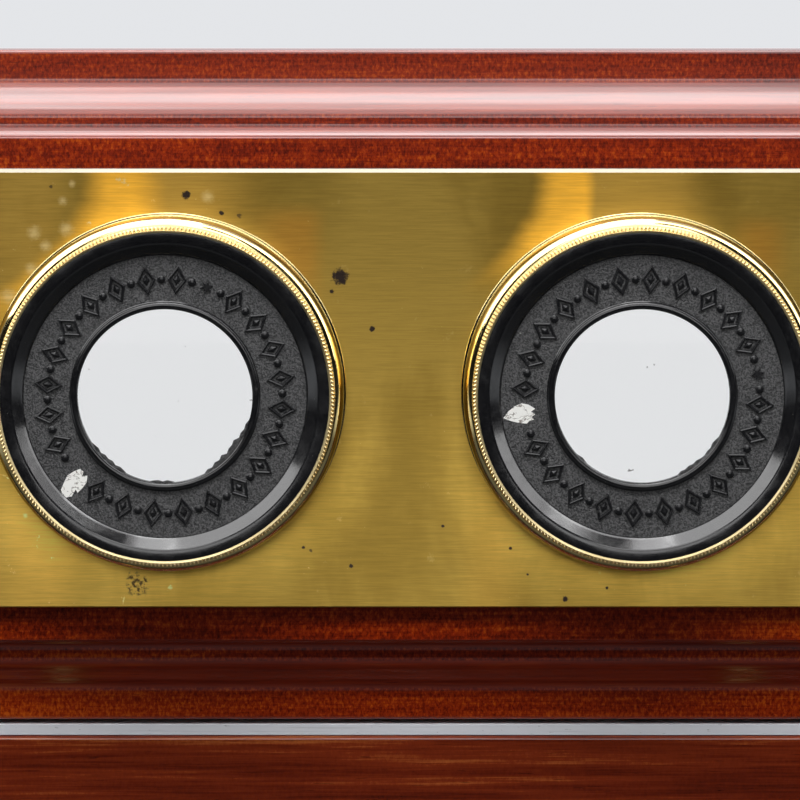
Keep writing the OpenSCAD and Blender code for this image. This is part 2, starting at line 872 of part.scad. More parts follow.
module focus_knobs() {
    hub_r = 4.2;
    hub_t = 1.5;
    tooth = 0.3;
    teeth = 48;
    color(polished_brass) both_sides() difference() {
        union() {
            rod_x(knob_face, knob_face + hub_t, shaft_y, shaft_z, hub_r);
            translate([knob_face + hub_t, shaft_y, shaft_z]) rotate([90, 0, 90])
                linear_extrude(height = focus_knob_t - hub_t - 1)
                    polygon([for (k = [0:2 * teeth - 1])
                        let (r = focus_knob_r - (k % 2) * tooth, a = k * 180 / teeth)
                        [r * cos(a), r * sin(a)]]);
            turned_outward([knob_face + focus_knob_t - 1, shaft_y, shaft_z],
                           [[0, 0], [focus_knob_r - 0.6, 0], [focus_knob_r - 1.6, 1], [0, 1]]);
        }
        rod_x(knob_face - 1, knob_face + focus_knob_t - 2, shaft_y, shaft_z, shaft_r);
    }
}

// Brass bush in a side board, with a lip outside it.
module bush(y, z, bore, lip) {
    difference() {
        union() {
            rod_x(body_side - body_wall, body_side, y, z, bush_r);
            if (lip > 0) rod_x(body_side, body_side + lip, y, z, bush_r + 1.2);
        }
        rod_x(body_side - body_wall - 1, body_side + bush_lip + 1, y, z, bore);
    }
}

module side_bushes() {
    color(brass) both_sides() {
        bush(shaft_y, shaft_z, shaft_r + running_gap, bush_lip);
        bush(clamp_y, clamp_z, clamp_r + running_gap, 0);
    }
}

// Reflector flap

mirror_front = flap_front + mirror_border + 3;

module flap_board() {
    color(mahogany) difference() {
        block([-flap_w / 2, flap_front, flap_low], [flap_w / 2, flap_back, body_high]);
        block([-flap_w / 2 + mirror_border, mirror_front, flap_low - 1],
              [flap_w / 2 - mirror_border, flap_back - mirror_border, flap_low + mirror_t]);
    }
}

module flap_mirror() {
    color("gainsboro")
        block([-flap_w / 2 + mirror_border, mirror_front, flap_low],
              [flap_w / 2 - mirror_border, flap_back - mirror_border, flap_low + mirror_t]);
}

// Rear door

module door_frame() {
    half_w = window_w / 2 + glass_lap;
    half_h = window_h / 2 + glass_lap;
    color(mahogany) difference() {
        window_frame(door_front, door_t, door_low, body_high);
        block([-half_w, door_front - 1, card_z - half_h], [half_w, door_front + glass_t, card_z + half_h]);
    }
}

module ground_glass() {
    half_w = window_w / 2 + glass_lap;
    half_h = window_h / 2 + glass_lap;
    color("aliceblue", 0.6)
        block([-half_w, door_front, card_z - half_h], [half_w, door_front + glass_t, card_z + half_h]);
}

// Turned knob below the glass.
module door_knob() {
    z = (door_low + card_z - window_h / 2) / 2;
    rose_r = 2.4;
    rose_t = 0.6;
    neck_r = 1.2;
    neck_end = 2.4;
    head_r = 2.8;
    head_t = 1.8;
    head_mid = neck_end + head_t - 0.2;
    color(polished_brass)
        translate([0, door_front + door_t, z]) rotate([-90, 0, 0]) rotate_extrude()
            polygon(concat(
                [[0, 0], [rose_r, 0], [rose_r, rose_t], [neck_r + 0.1, 2 * rose_t], [neck_r, neck_end]],
                [for (a = [-60:20:90]) [head_r * cos(a), head_mid + head_t * sin(a)]]
            ));
}

// Bowed strips on the door that press a card against its frame.
module card_springs() {
    foot = 4;
    rise = spring_rise - spring_t;
    bow = concat(
        [[door_front, card_z - spring_h / 2 - foot]],
        [for (t = [0:0.1:1]) [door_front - rise * pow(sin(180 * t), 2), card_z + spring_h * (t - 0.5)]],
        [[door_front, card_z + spring_h / 2 + foot]]
    );
    back = [for (p = bow) [p[0] - spring_t, p[1]]];
    color(brass) both_sides() translate([spring_x - spring_w / 2, 0, 0]) rotate([90, 0, 90])
        linear_extrude(height = spring_w)
            polygon(concat(bow, [for (k = [len(back) - 1:-1:0]) back[k]]));
}

// Quadrants and clamps

// Points along an arc about the tilt hinge, seen from the right: [y, z].
function tilt_arc(radius, from, to, step) =
    [for (a = [from:step:to]) [tilt_axis_y - radius * cos(a), tilt_axis_z + radius * sin(a)]];

// Points half way round a slot end. They start from the far side of the hinge and turn towards
// the slot's high end, or with start = 180 from the near side towards its low end.
function slot_end(angle, start) =
    let (
        centre = tilt_arc(quadrant_r, angle, angle, 1)[0],
        outward = [-cos(angle), sin(angle)],
        along = [sin(angle), cos(angle)],
        slot = clamp_r + slot_clearance,
        step = 15
    )
    [for (a = [start + step:step:start + 180 - step]) centre + slot * (cos(a) * outward + sin(a) * along)];

module quadrant_outline() {
    slot = clamp_r + slot_clearance;
    slot_low = clamp_angle - slot_margin;
    slot_high = clamp_angle + tilt_max + slot_margin;
    inner = quadrant_r - quadrant_w / 2;
    outer = quadrant_r + quadrant_w / 2;
    steps = 16;
    difference() {
        polygon(concat(
            [[tilt_axis_y - outer, base_h]],
            tilt_arc(outer, 0, quadrant_end, quadrant_end / steps),
            tilt_arc(inner, quadrant_end, 0, -quadrant_end / steps),
            [[tilt_axis_y - inner, base_h]]
        ));
        polygon(concat(
            tilt_arc(quadrant_r + slot, slot_low, slot_high, (slot_high - slot_low) / steps),
            slot_end(slot_high, 0),
            tilt_arc(quadrant_r - slot, slot_high, slot_low, (slot_low - slot_high) / steps),
            slot_end(slot_low, 180)
        ));
    }
}

module quadrant() {
    difference() {
        union() {
            translate([quadrant_in, 0, 0]) rotate([90, 0, 90])
                linear_extrude(height = quadrant_t) quadrant_outline();
            block([quadrant_in, foot_front, base_h],
                  [quadrant_in + foot_w, foot_front + foot_len, base_h + foot_t]);
        }
        at_foot_screws() translate([0, 0, base_h - 1]) cylinder(h = foot_t + 2, r = screw_r);
    }
}

module at_foot_screws() {
    for (y = [foot_front + screw_inset, foot_front + foot_len - screw_inset])
        translate([quadrant_in + foot_w - screw_inset, y, 0]) children();
}

module quadrant_right() {
    color(polished_brass) quadrant();
}

module quadrant_left() {
    color(polished_brass) mirror([1, 0, 0]) quadrant();
}

module quadrant_screws() {
    head_low = base_h + foot_t;
    color(brass) both_sides() at_foot_screws() difference() {
        union() {
            translate([0, 0, head_low - screw_len]) cylinder(h = screw_len, r = screw_r);
            translate([0, 0, head_low]) cylinder(h = screw_head_h, r = screw_head_r);
        }
        block([-screw_head_r - 1, -0.3, head_low + screw_head_h / 2],
              [screw_head_r + 1, 0.3, head_low + screw_head_h + 1]);
    }
}

module clamp_screw() {
    knob_start = quadrant_out + 0.2;
    collar_r = 4.5;
    collar_t = 2;
    tooth = 0.3;
    teeth = 40;
    union() {
        rod_x(body_side - body_wall, knob_start + collar_t, clamp_y, clamp_z, clamp_r);
        rod_x(knob_start, knob_start + collar_t, clamp_y, clamp_z, collar_r);
        translate([knob_start + collar_t, clamp_y, clamp_z]) rotate([90, 0, 90])
            linear_extrude(height = clamp_knob_t - collar_t - 1)
                polygon([for (k = [0:2 * teeth - 1])
                    let (r = clamp_knob_r - (k % 2) * tooth, a = k * 180 / teeth)
                    [r * cos(a), r * sin(a)]]);
        turned_outward([knob_start + clamp_knob_t - 1, clamp_y, clamp_z],
                       [[0, 0], [clamp_knob_r - 0.6, 0], [clamp_knob_r - 1.6, 1], [0, 1]]);
    }
}

module clamp_screw_right() {
    color(polished_brass) clamp_screw();
}

module clamp_screw_left() {
    color(polished_brass) mirror([1, 0, 0]) clamp_screw();
}

// Cabinet

module plinth_board() {
    lip = plinth_lip;
    color(dark_mahogany) difference() {
        block([-base_w / 2 - lip, base_front - lip, 0], [base_w / 2 + lip, base_rear + lip, plinth_t]);
        for (side = [-1, 1]) translate([side * (base_w / 2 + lip), 0, plinth_t]) rotate([0, 45, 0])
            cube([1.6, base_d * 2, 1.6], center = true);
        for (side = [-1, 1]) translate([0, side * (base_d / 2 + lip), plinth_t]) rotate([45, 0, 0])
            cube([base_w * 2, 1.6, 1.6], center = true);
    }
}

module cabinet_sides() {
    color(mahogany) both_sides()
        block([base_w / 2 - base_wall, base_front, bay_low], [base_w / 2, base_rear, bay_high]);
}

module cabinet_back() {
    color(mahogany)
        block([-bay_w / 2, base_rear - base_wall, bay_low], [bay_w / 2, base_rear, bay_high]);
}

module cabinet_top() {
    sill_low = base_h - sill_h;
    color(dark_mahogany) difference() {
        block([-base_w / 2, base_front, bay_high], [base_w / 2, base_rear, base_h]);
        block([-base_w, base_front - 1, sill_low], [base_w, base_front + sill_d, base_h + 1]);
        rotate([90, 0, 90]) linear_extrude(height = base_w + 2, center = true)
            polygon([[base_front - 1, sill_low + 1], [base_front - 1, sill_low - sill_chamfer - 1],
                     [base_front + sill_chamfer + 1, sill_low + 1]]);
        both_sides() at_foot_screws()
            translate([0, 0, base_h + foot_t - screw_len]) cylinder(h = screw_len, r = screw_r);
    }
}

// Metal strip let into the top board's front edge, under the moulded frame.
module sill_strip() {
    color("silver")
        block([-base_w / 2, base_front + sill_inset, base_h - sill_h],
              [base_w / 2, base_front + sill_d, base_h]);
}

module drawer_front() {
    color(mahogany)
        block([-drawer_w / 2, base_front, drawer_low],
              [drawer_w / 2, base_front + drawer_front_t, drawer_low + drawer_front_h]);
}

drawer_side_back = base_front + drawer_front_t + drawer_side_len;

module drawer_sides() {
    color(drawer_wood) both_sides()
        block([drawer_w / 2 - drawer_wall, base_front + drawer_front_t, drawer_low],
              [drawer_w / 2, drawer_side_back, drawer_low + drawer_side_h]);
}

module drawer_rear() {
    color(drawer_wood)
        block([-drawer_w / 2, drawer_side_back, drawer_low],
              [drawer_w / 2, drawer_side_back + drawer_wall, drawer_low + drawer_side_h]);
}

module drawer_floor() {
    color(drawer_wood)
        block([-drawer_w / 2 + drawer_wall, base_front + drawer_front_t, drawer_low],
              [drawer_w / 2 - drawer_wall, drawer_side_back, drawer_low + drawer_floor_t]);
}

module drawer_knobs() {
    rose_r = drawer_knob_r - 1;
    rose_t = 1;
    neck_r = 2.6;
    neck_end = 5;
    head_t = 3.4;
    head_mid = neck_end + head_t - 0.2;
    color(polished_brass) both_sides()
        turned_forward([drawer_knob_gap / 2, base_front, drawer_knob_z], concat(
            [[0, 0], [rose_r, 0], [rose_r, rose_t], [neck_r + 0.4, 2 * rose_t], [neck_r, neck_end]],
            [for (a = [-60:20:90]) [drawer_knob_r * cos(a), head_mid + head_t * sin(a)]]
        ));
}

plinth_board();
cabinet_sides();
cabinet_back();
cabinet_top();
sill_strip();
tilt_hinge_lower();
tilt_hinge_pins();
quadrant_left();
quadrant_right();
quadrant_screws();
drawer_front();
drawer_sides();
drawer_rear();
drawer_floor();
drawer_knobs();
frame_top_rail();
frame_bottom_rail();
frame_left_stile();
frame_right_stile();
body_sides();
body_floor();
body_top_strips();
sleeve_guides();
septum();
card_frame();
card_rails();
flap_ledges();
flap_hinge_fixed();
door_hinge_fixed();
small_hinge_pins();
tilt_hinge_upper();
side_bushes();
lens_plate();
lens_board();
lens_sleeve();
racks();
socket_left();
socket_right();
socket_nuts();
milled_ring_left();
milled_ring_right();
eye_cell_left();
eye_cell_right();
doublet_left();
doublet_right();
lens_retainer_left();
lens_retainer_right();
focus_shaft();
pinions();
focus_knobs();
flap_board();
flap_mirror();
flap_hinge_moving();
door_frame();
ground_glass();
door_hinge_moving();
door_knob();
card_springs();
clamp_screw_left();
clamp_screw_right();
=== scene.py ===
"""Looks of a table stereoscope: the finish of every piece, and finer pieces in place of the plain solids.

The frame is in metres: +X right, +Y away from the user, +Z up. The bench works in millimetres in the same
axes, and each finished piece is scaled to metres with its place in its mesh.
"""
import logging
import math
from collections.abc import Callable, Sequence
from dataclasses import dataclass
from enum import Enum

import bpy
from mathutils import Matrix, Vector


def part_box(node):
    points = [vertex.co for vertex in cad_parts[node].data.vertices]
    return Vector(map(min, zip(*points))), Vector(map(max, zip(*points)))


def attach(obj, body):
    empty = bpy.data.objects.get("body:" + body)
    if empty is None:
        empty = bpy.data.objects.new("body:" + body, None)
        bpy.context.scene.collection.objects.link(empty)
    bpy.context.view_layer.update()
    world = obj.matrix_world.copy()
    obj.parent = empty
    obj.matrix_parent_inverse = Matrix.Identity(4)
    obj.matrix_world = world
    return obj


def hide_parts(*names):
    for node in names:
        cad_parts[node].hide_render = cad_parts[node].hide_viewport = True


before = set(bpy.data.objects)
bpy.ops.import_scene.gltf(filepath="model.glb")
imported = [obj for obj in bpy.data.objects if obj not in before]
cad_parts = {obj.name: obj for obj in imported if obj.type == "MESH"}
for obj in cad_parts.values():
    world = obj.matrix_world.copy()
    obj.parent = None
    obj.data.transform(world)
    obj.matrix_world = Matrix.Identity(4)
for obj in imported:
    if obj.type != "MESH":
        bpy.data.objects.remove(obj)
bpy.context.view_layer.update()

log = logging.getLogger("stereoscope")

MM = 0.001
RIGHT_ANGLE = math.radians(90)
SMOOTH_ANGLE = math.radians(28)
ARRIS_ANGLE = math.radians(35)
FLAT_ANGLE = math.radians(0.5)
MERGE_DISTANCE = 0.0004
SOLID_MERGE_DISTANCE = 0.001
SOFTENED = "_finished"
FLIP_X = Matrix.Diagonal((-1, 1, 1, 1))
Colour = tuple[float, float, float]
Point = tuple[float, float]
Place = tuple[float, float, float]
Spot = tuple[float, float, float]
Piece = bpy.types.Object
Socket = bpy.types.NodeSocket


class Axis(Enum):
    """A direction of the frame, as the index of its coordinate."""

    X = 0
    Y = 1
    Z = 2


class Facing(Enum):
    """The way that a turned piece's outline grows, as Euler angles that turn +Z there."""

    FORWARD = (RIGHT_ANGLE, 0.0, 0.0)
    BACKWARD = (-RIGHT_ANGLE, 0.0, 0.0)
    RIGHT = (0.0, RIGHT_ANGLE, 0.0)
    UP = (0.0, 0.0, 0.0)


def corners(node: str) -> tuple[Vector, Vector]:
    """Corners of a solid at rest.

    Args:
        node: Name of the solid.

    Returns:
        Its lowest and its highest corner, in millimetres.
    """
    low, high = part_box(node)
    return low / MM, high / MM


def arc(middle: Point, radii: Point, turns: Sequence[float]) -> list[Point]:
    """Works out points round an ellipse.

    Args:
        middle: Its middle.
        radii: Its radii along the first and the second direction.
        turns: Where the points lie, in degrees from the first direction.

    Returns:
        The points.
    """
    return [(middle[0] + radii[0] * math.cos(math.radians(turned)),
             middle[1] + radii[1] * math.sin(math.radians(turned))) for turned in turns]


# Bench: how pieces are made


def leave_edit() -> None:
    """Leaves edit mode."""
    bpy.ops.object.mode_set(mode="OBJECT")


def deselect() -> None:
    """Leaves edit mode and deselects everything."""
    if bpy.context.object and bpy.context.object.mode != "OBJECT":
        leave_edit()
    bpy.ops.object.select_all(action="DESELECT")


def take(piece: Piece) -> None:
    """Makes a piece the only selected one and the active one.

    Args:
        piece: The piece.
    """
    deselect()
    piece.select_set(True)
    bpy.context.view_layer.objects.active = piece


def edit() -> None:
    """Enters edit mode with everything selected."""
    bpy.ops.object.mode_set(mode="EDIT")
    bpy.ops.mesh.select_all(action="SELECT")


def pick(piece: Piece, wanted: Callable[[Vector], bool]) -> None:
    """Selects a piece's vertices by their place, in edit mode.

    Args:
        piece: The piece in edit mode.
        wanted: Says whether a vertex at that place is selected.
    """
    bpy.ops.mesh.select_mode(type="VERT")
    bpy.ops.mesh.select_all(action="DESELECT")
    leave_edit()
    for vertex in piece.data.vertices:
        vertex.select = wanted(vertex.co)
    bpy.ops.object.mode_set(mode="EDIT")


def pick_faces(piece: Piece, wanted: Callable[[Vector, Vector], bool]) -> None:
    """Selects a piece's faces by their centre and normal, in edit mode.

    Args:
        piece: The piece in edit mode.
        wanted: Says whether a face with that centre and normal is selected.
    """
    bpy.ops.mesh.select_mode(type="FACE")
    bpy.ops.mesh.select_all(action="DESELECT")
    leave_edit()
    for face in piece.data.polygons:
        face.select = wanted(face.center, face.normal)
    bpy.ops.object.mode_set(mode="EDIT")


def named(name: str) -> Piece:
    """Names the active object and its mesh.

    Args:
        name: The new name.

    Returns:
        The object.
    """
    piece = bpy.context.object
    piece.name = name
    piece.data.name = name
    return piece


def close_up() -> None:
    """Merges doubles, turns all faces outwards and leaves edit mode."""
    bpy.ops.mesh.select_mode(type="VERT")
    bpy.ops.mesh.select_all(action="SELECT")
    bpy.ops.mesh.remove_doubles(threshold=MERGE_DISTANCE)
    bpy.ops.mesh.normals_make_consistent(inside=False)
    leave_edit()


def apply_place(piece: Piece) -> None:
    """Puts an object's place, turn and scale into its mesh."""
    take(piece)
    bpy.ops.object.transform_apply(location=True, rotation=True, scale=True)


def apply_modifier(piece: Piece, kind: str, **settings: object) -> None:
    """Adds a modifier and applies it.

    Args:
        piece: The piece that gets it.
        kind: The modifier's type.
        settings: Values for the modifier's own settings.
    """
    take(piece)
    modifier = piece.modifiers.new(kind.lower(), kind)
    for name, value in settings.items():
        setattr(modifier, name, value)
    bpy.ops.object.modifier_apply(modifier=modifier.name)


def turn(name: str, outline: Sequence[Point], at: Place, facing: Facing, steps: int) -> Piece:
    """Turns a piece as on a lathe: a circle is extruded and resized from point to point.

    Args:
        name: Name of the piece.
        outline: Points as radius and height along the axis. It starts and ends on the axis, or goes round.
        at: Where the axis starts, in millimetres.
        facing: The way that height grows.
        steps: Faces round the piece.

    Returns:
        The piece, in millimetres.
    """
    deselect()
    points = [point for point in outline if point[0] > 0]
    first_radius, first_height = points[0]
    bpy.ops.mesh.primitive_circle_add(vertices=steps, radius=first_radius, location=(0, 0, first_height))
    piece = named(name)
    apply_place(piece)
    edit()
    if outline[0][0] == 0:
        bpy.ops.mesh.extrude_edges_move(
            TRANSFORM_OT_translate={"value": (0, 0, outline[0][1] - first_height)})
        bpy.ops.mesh.merge(type="CENTER")
        pick(piece, lambda co: math.hypot(co.x, co.y) > first_radius / 2)
    rest = points[1:] if outline[-1][0] == 0 else [*points[1:], points[0]]
    radius, height = first_radius, first_height
    for next_radius, next_height in rest:
        bpy.ops.mesh.extrude_edges_move(TRANSFORM_OT_translate={"value": (0, 0, next_height - height)})
        grown = next_radius / radius
        bpy.ops.transform.resize(value=(grown, grown, 1), center_override=(0, 0, next_height))
        radius, height = next_radius, next_height
    if outline[-1][0] == 0:
        bpy.ops.mesh.extrude_edges_move(
            TRANSFORM_OT_translate={"value": (0, 0, outline[-1][1] - height)})
        bpy.ops.mesh.merge(type="CENTER")
    close_up()
    piece.rotation_euler = facing.value
    piece.location = at
    apply_place(piece)
    return piece


def mill(piece: Piece, teeth: int, depth: float, at: Place, axis: Axis,
         wanted: Callable[[float, float], bool], sink: float = 0.0) -> None:
    """Mills an edge: every second line of vertices round the axis is drawn in.

    Args:
        piece: A turned piece with two faces to a tooth.
        teeth: Number of teeth.
        depth: Share of the radius that the grooves are deep.
        at: A point on the axis, in millimetres.
        axis: The axis of the piece.
        wanted: Says whether a vertex of that radius and place along the axis is milled.
        sink: Distance along the axis that the grooves are moved, in millimetres.
    """
    one, other = [way.value for way in Axis if way != axis]

    def grooved(co: Vector) -> bool:
        """Says whether a vertex lies on a groove.

        Args:
            co: The vertex's place.

        Returns:
            Whether it does.
        """
        away = co - Vector(at)
        half_tooth = math.atan2(away[other], away[one]) * teeth / math.pi
        return round(half_tooth) % 2 == 1 and wanted(math.hypot(away[one], away[other]), co[axis.value])

    take(piece)
    edit()
    pick(piece, grooved)
    drawn = [1 - depth] * 3
    drawn[axis.value] = 1
    bpy.ops.transform.resize(value=drawn, center_override=at)
    if sink:
        bpy.ops.transform.translate(value=[sink if way == axis else 0 for way in Axis])
    leave_edit()


def trace(name: str, outline: Sequence[Place], depth: Vector) -> Piece:
    """Draws a closed outline by pulling a vertex from point to point, fills it and extrudes it.

    Args:
        name: Name of the piece.
        outline: The outline's points, in millimetres.
        depth: The extrusion.

    Returns:
        The piece, in millimetres.
    """
    deselect()
    bpy.ops.mesh.primitive_plane_add(size=1)
    piece = named(name)
    edit()
    bpy.ops.mesh.merge(type="CENTER")
    points = [Vector(point) for point in outline]
    bpy.ops.transform.translate(value=points[0])
    for before, after in zip(points, [*points[1:], points[0]]):
        bpy.ops.mesh.extrude_vertices_move(TRANSFORM_OT_translate={"value": after - before})
    bpy.ops.mesh.select_all(action="SELECT")
    bpy.ops.mesh.remove_doubles(threshold=MERGE_DISTANCE)
    bpy.ops.mesh.edge_face_add()
    bpy.ops.mesh.extrude_region_move(TRANSFORM_OT_translate={"value": depth})
    close_up()
    return piece


def board(name: str, low: Vector, high: Vector, rounding: float) -> Piece:
    """Makes a board with rounded arrises.

    Args:
        name: Name of the piece.
        low: Its lowest corner, in millimetres.
        high: Its highest corner.
        rounding: Radius of the arrises.

    Returns:
        The piece, in millimetres.
    """
    deselect()
    bpy.ops.mesh.primitive_cube_add(size=1, location=(low + high) / 2)
    piece = named(name)
    piece.scale = high - low
    apply_place(piece)
    edit()
    bpy.ops.mesh.bevel(offset=rounding, segments=3, affect="EDGES")
    close_up()
    return piece


def cut(piece: Piece, low: Vector, high: Vector) -> None:
    """Cuts a box out of a piece.

    Args:
        piece: The piece.
        low: The box's lowest corner, in millimetres.
        high: Its highest corner.
    """
    cutter = board("cutter", low, high, rounding=0.01)
    apply_modifier(piece, "BOOLEAN", operation="DIFFERENCE", solver="EXACT", object=cutter)
    bpy.data.objects.remove(cutter)


def soften(node: str, rounding: float) -> Piece:
    """Makes a copy of a solid with its arrises rounded.

    Args:
        node: Name of the solid.
        rounding: Radius of the arrises, in millimetres.

    Returns:
        The piece, in millimetres, named after the solid.
    """
    piece = bpy.data.objects.new(f"{node}{SOFTENED}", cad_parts[node].data.copy())
    bpy.context.scene.collection.objects.link(piece)
    piece.data.materials.clear()
    piece.scale = (1 / MM,) * 3
    apply_place(piece)
    edit()
    bpy.ops.mesh.customdata_custom_splitnormals_clear()
    bpy.ops.mesh.remove_doubles(threshold=SOLID_MERGE_DISTANCE)
    bpy.ops.mesh.dissolve_limited(angle_limit=FLAT_ANGLE)
    leave_edit()
    apply_modifier(piece, "BEVEL", width=rounding, segments=2, limit_method="ANGLE", angle_limit=ARRIS_ANGLE,
                   harden_normals=False)
    return piece


def joined(name: str, pieces: Sequence[Piece]) -> Piece:
    """Joins pieces into one.

    Args:
        name: Name of the result.
        pieces: The pieces.

    Returns:
        The joined piece.
    """
    deselect()
    for piece in pieces:
        piece.select_set(True)
    bpy.context.view_layer.objects.active = pieces[0]
    bpy.ops.object.join()
    return named(name)


def copy_of(piece: Piece, name: str, place: Matrix) -> Piece:
    """Copies a piece with a mesh of its own.

    Args:
        piece: The pattern.
        name: Name of the copy.
        place: Where the copy goes from the pattern, in the pattern's units.

    Returns:
        The copy.
    """
    other = bpy.data.objects.new(name, piece.data.copy())
    bpy.context.scene.collection.objects.link(other)
    other.matrix_world = place
    apply_place(other)
    if place.determinant() < 0:
        edit()
        bpy.ops.mesh.normals_make_consistent(inside=False)
        leave_edit()
    return other


def screw(name: str, at: Place, facing: Facing, radius: float, slot_angle: float) -> Piece:
    """Makes a countersunk screw's head with its slot.

    Args:
        name: Name of the piece.
        at: Centre of the surface that it is sunk in, in millimetres.
        facing: The way that the head faces.
        radius: Radius of the head.
        slot_angle: Turn of the slot, in degrees.

    Returns:
        The piece, in millimetres.
    """
    rise, sunk = 0.16, 0.6
    waist = radius * 0.6
    outline = [(0, -sunk), (waist, -sunk), (radius, -0.05), (radius, 0.02), (waist, rise * 0.8), (0, rise)]
    head = turn(name, outline, (0, 0, 0), Facing.UP, steps=28)
    half_slot, slot_depth = radius * 0.13, 0.28
    cut(head, Vector((-radius * 2, -half_slot, -slot_depth)), Vector((radius * 2, half_slot, 1)))
    head.rotation_euler = (0, 0, math.radians(slot_angle))
    apply_place(head)
    head.rotation_euler = facing.value
    head.location = at
    apply_place(head)
    return head


def fit(piece: Piece, finish: bpy.types.Material | None, body: str, slot: str,
        *nodes: str) -> Piece:
    """Finishes a bench piece: metres, smooth shading, its finish, its body and what it stands for.

    Args:
        piece: The piece, in millimetres.
        finish: Its material, or None if its faces have theirs.
        body: The body that it rides on.
        slot: Not used; the name of a material slot.
        nodes: The solids that it stands for.

    Returns:
        The piece.
    """
    piece.scale = (MM,) * 3
    apply_place(piece)
    bpy.ops.object.shade_smooth_by_angle(angle=SMOOTH_ANGLE)
    if piece.name.endswith(SOFTENED):
        apply_modifier(piece, "WEIGHTED_NORMAL", keep_sharp=True)
    if finish:
        piece.data.materials.clear()
        piece.data.materials.append(finish)
    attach(piece, body)
    if nodes:
        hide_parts(*nodes)
    log.info("%s: %d faces, rides on %s", piece.name, len(piece.data.polygons), body)
    return piece


def dress(finish: bpy.types.Material, *nodes: str) -> None:
    """Gives solids that stay as they are their finish.

    Args:
        finish: The material.
        nodes: The solids.
    """
    for node in nodes:
        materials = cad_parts[node].data.materials
        if not materials:
            materials.append(finish)
        for i in range(len(materials)):
            materials[i] = finish
        log.info("%s: dressed in %s", node, finish.name)


# Finishes


def add_node(tree: bpy.types.NodeTree, kind: str, inputs: dict, settings: dict) -> bpy.types.Node:
    """Adds a shader node.

    Args:
        tree: Where it goes.
        kind: The node's type, without its prefix.
        inputs: Sockets to link, or values to set, by name or index.
        settings: The node's own settings.

    Returns:
        The node.
    """
    node = tree.nodes.new(f"ShaderNode{kind}")
    for name, value in settings.items():
        setattr(node, name, value)
    for key, value in inputs.items():
        if isinstance(value, Socket):
            tree.links.new(value, node.inputs[key])
        else:
            node.inputs[key].default_value = value
    return node


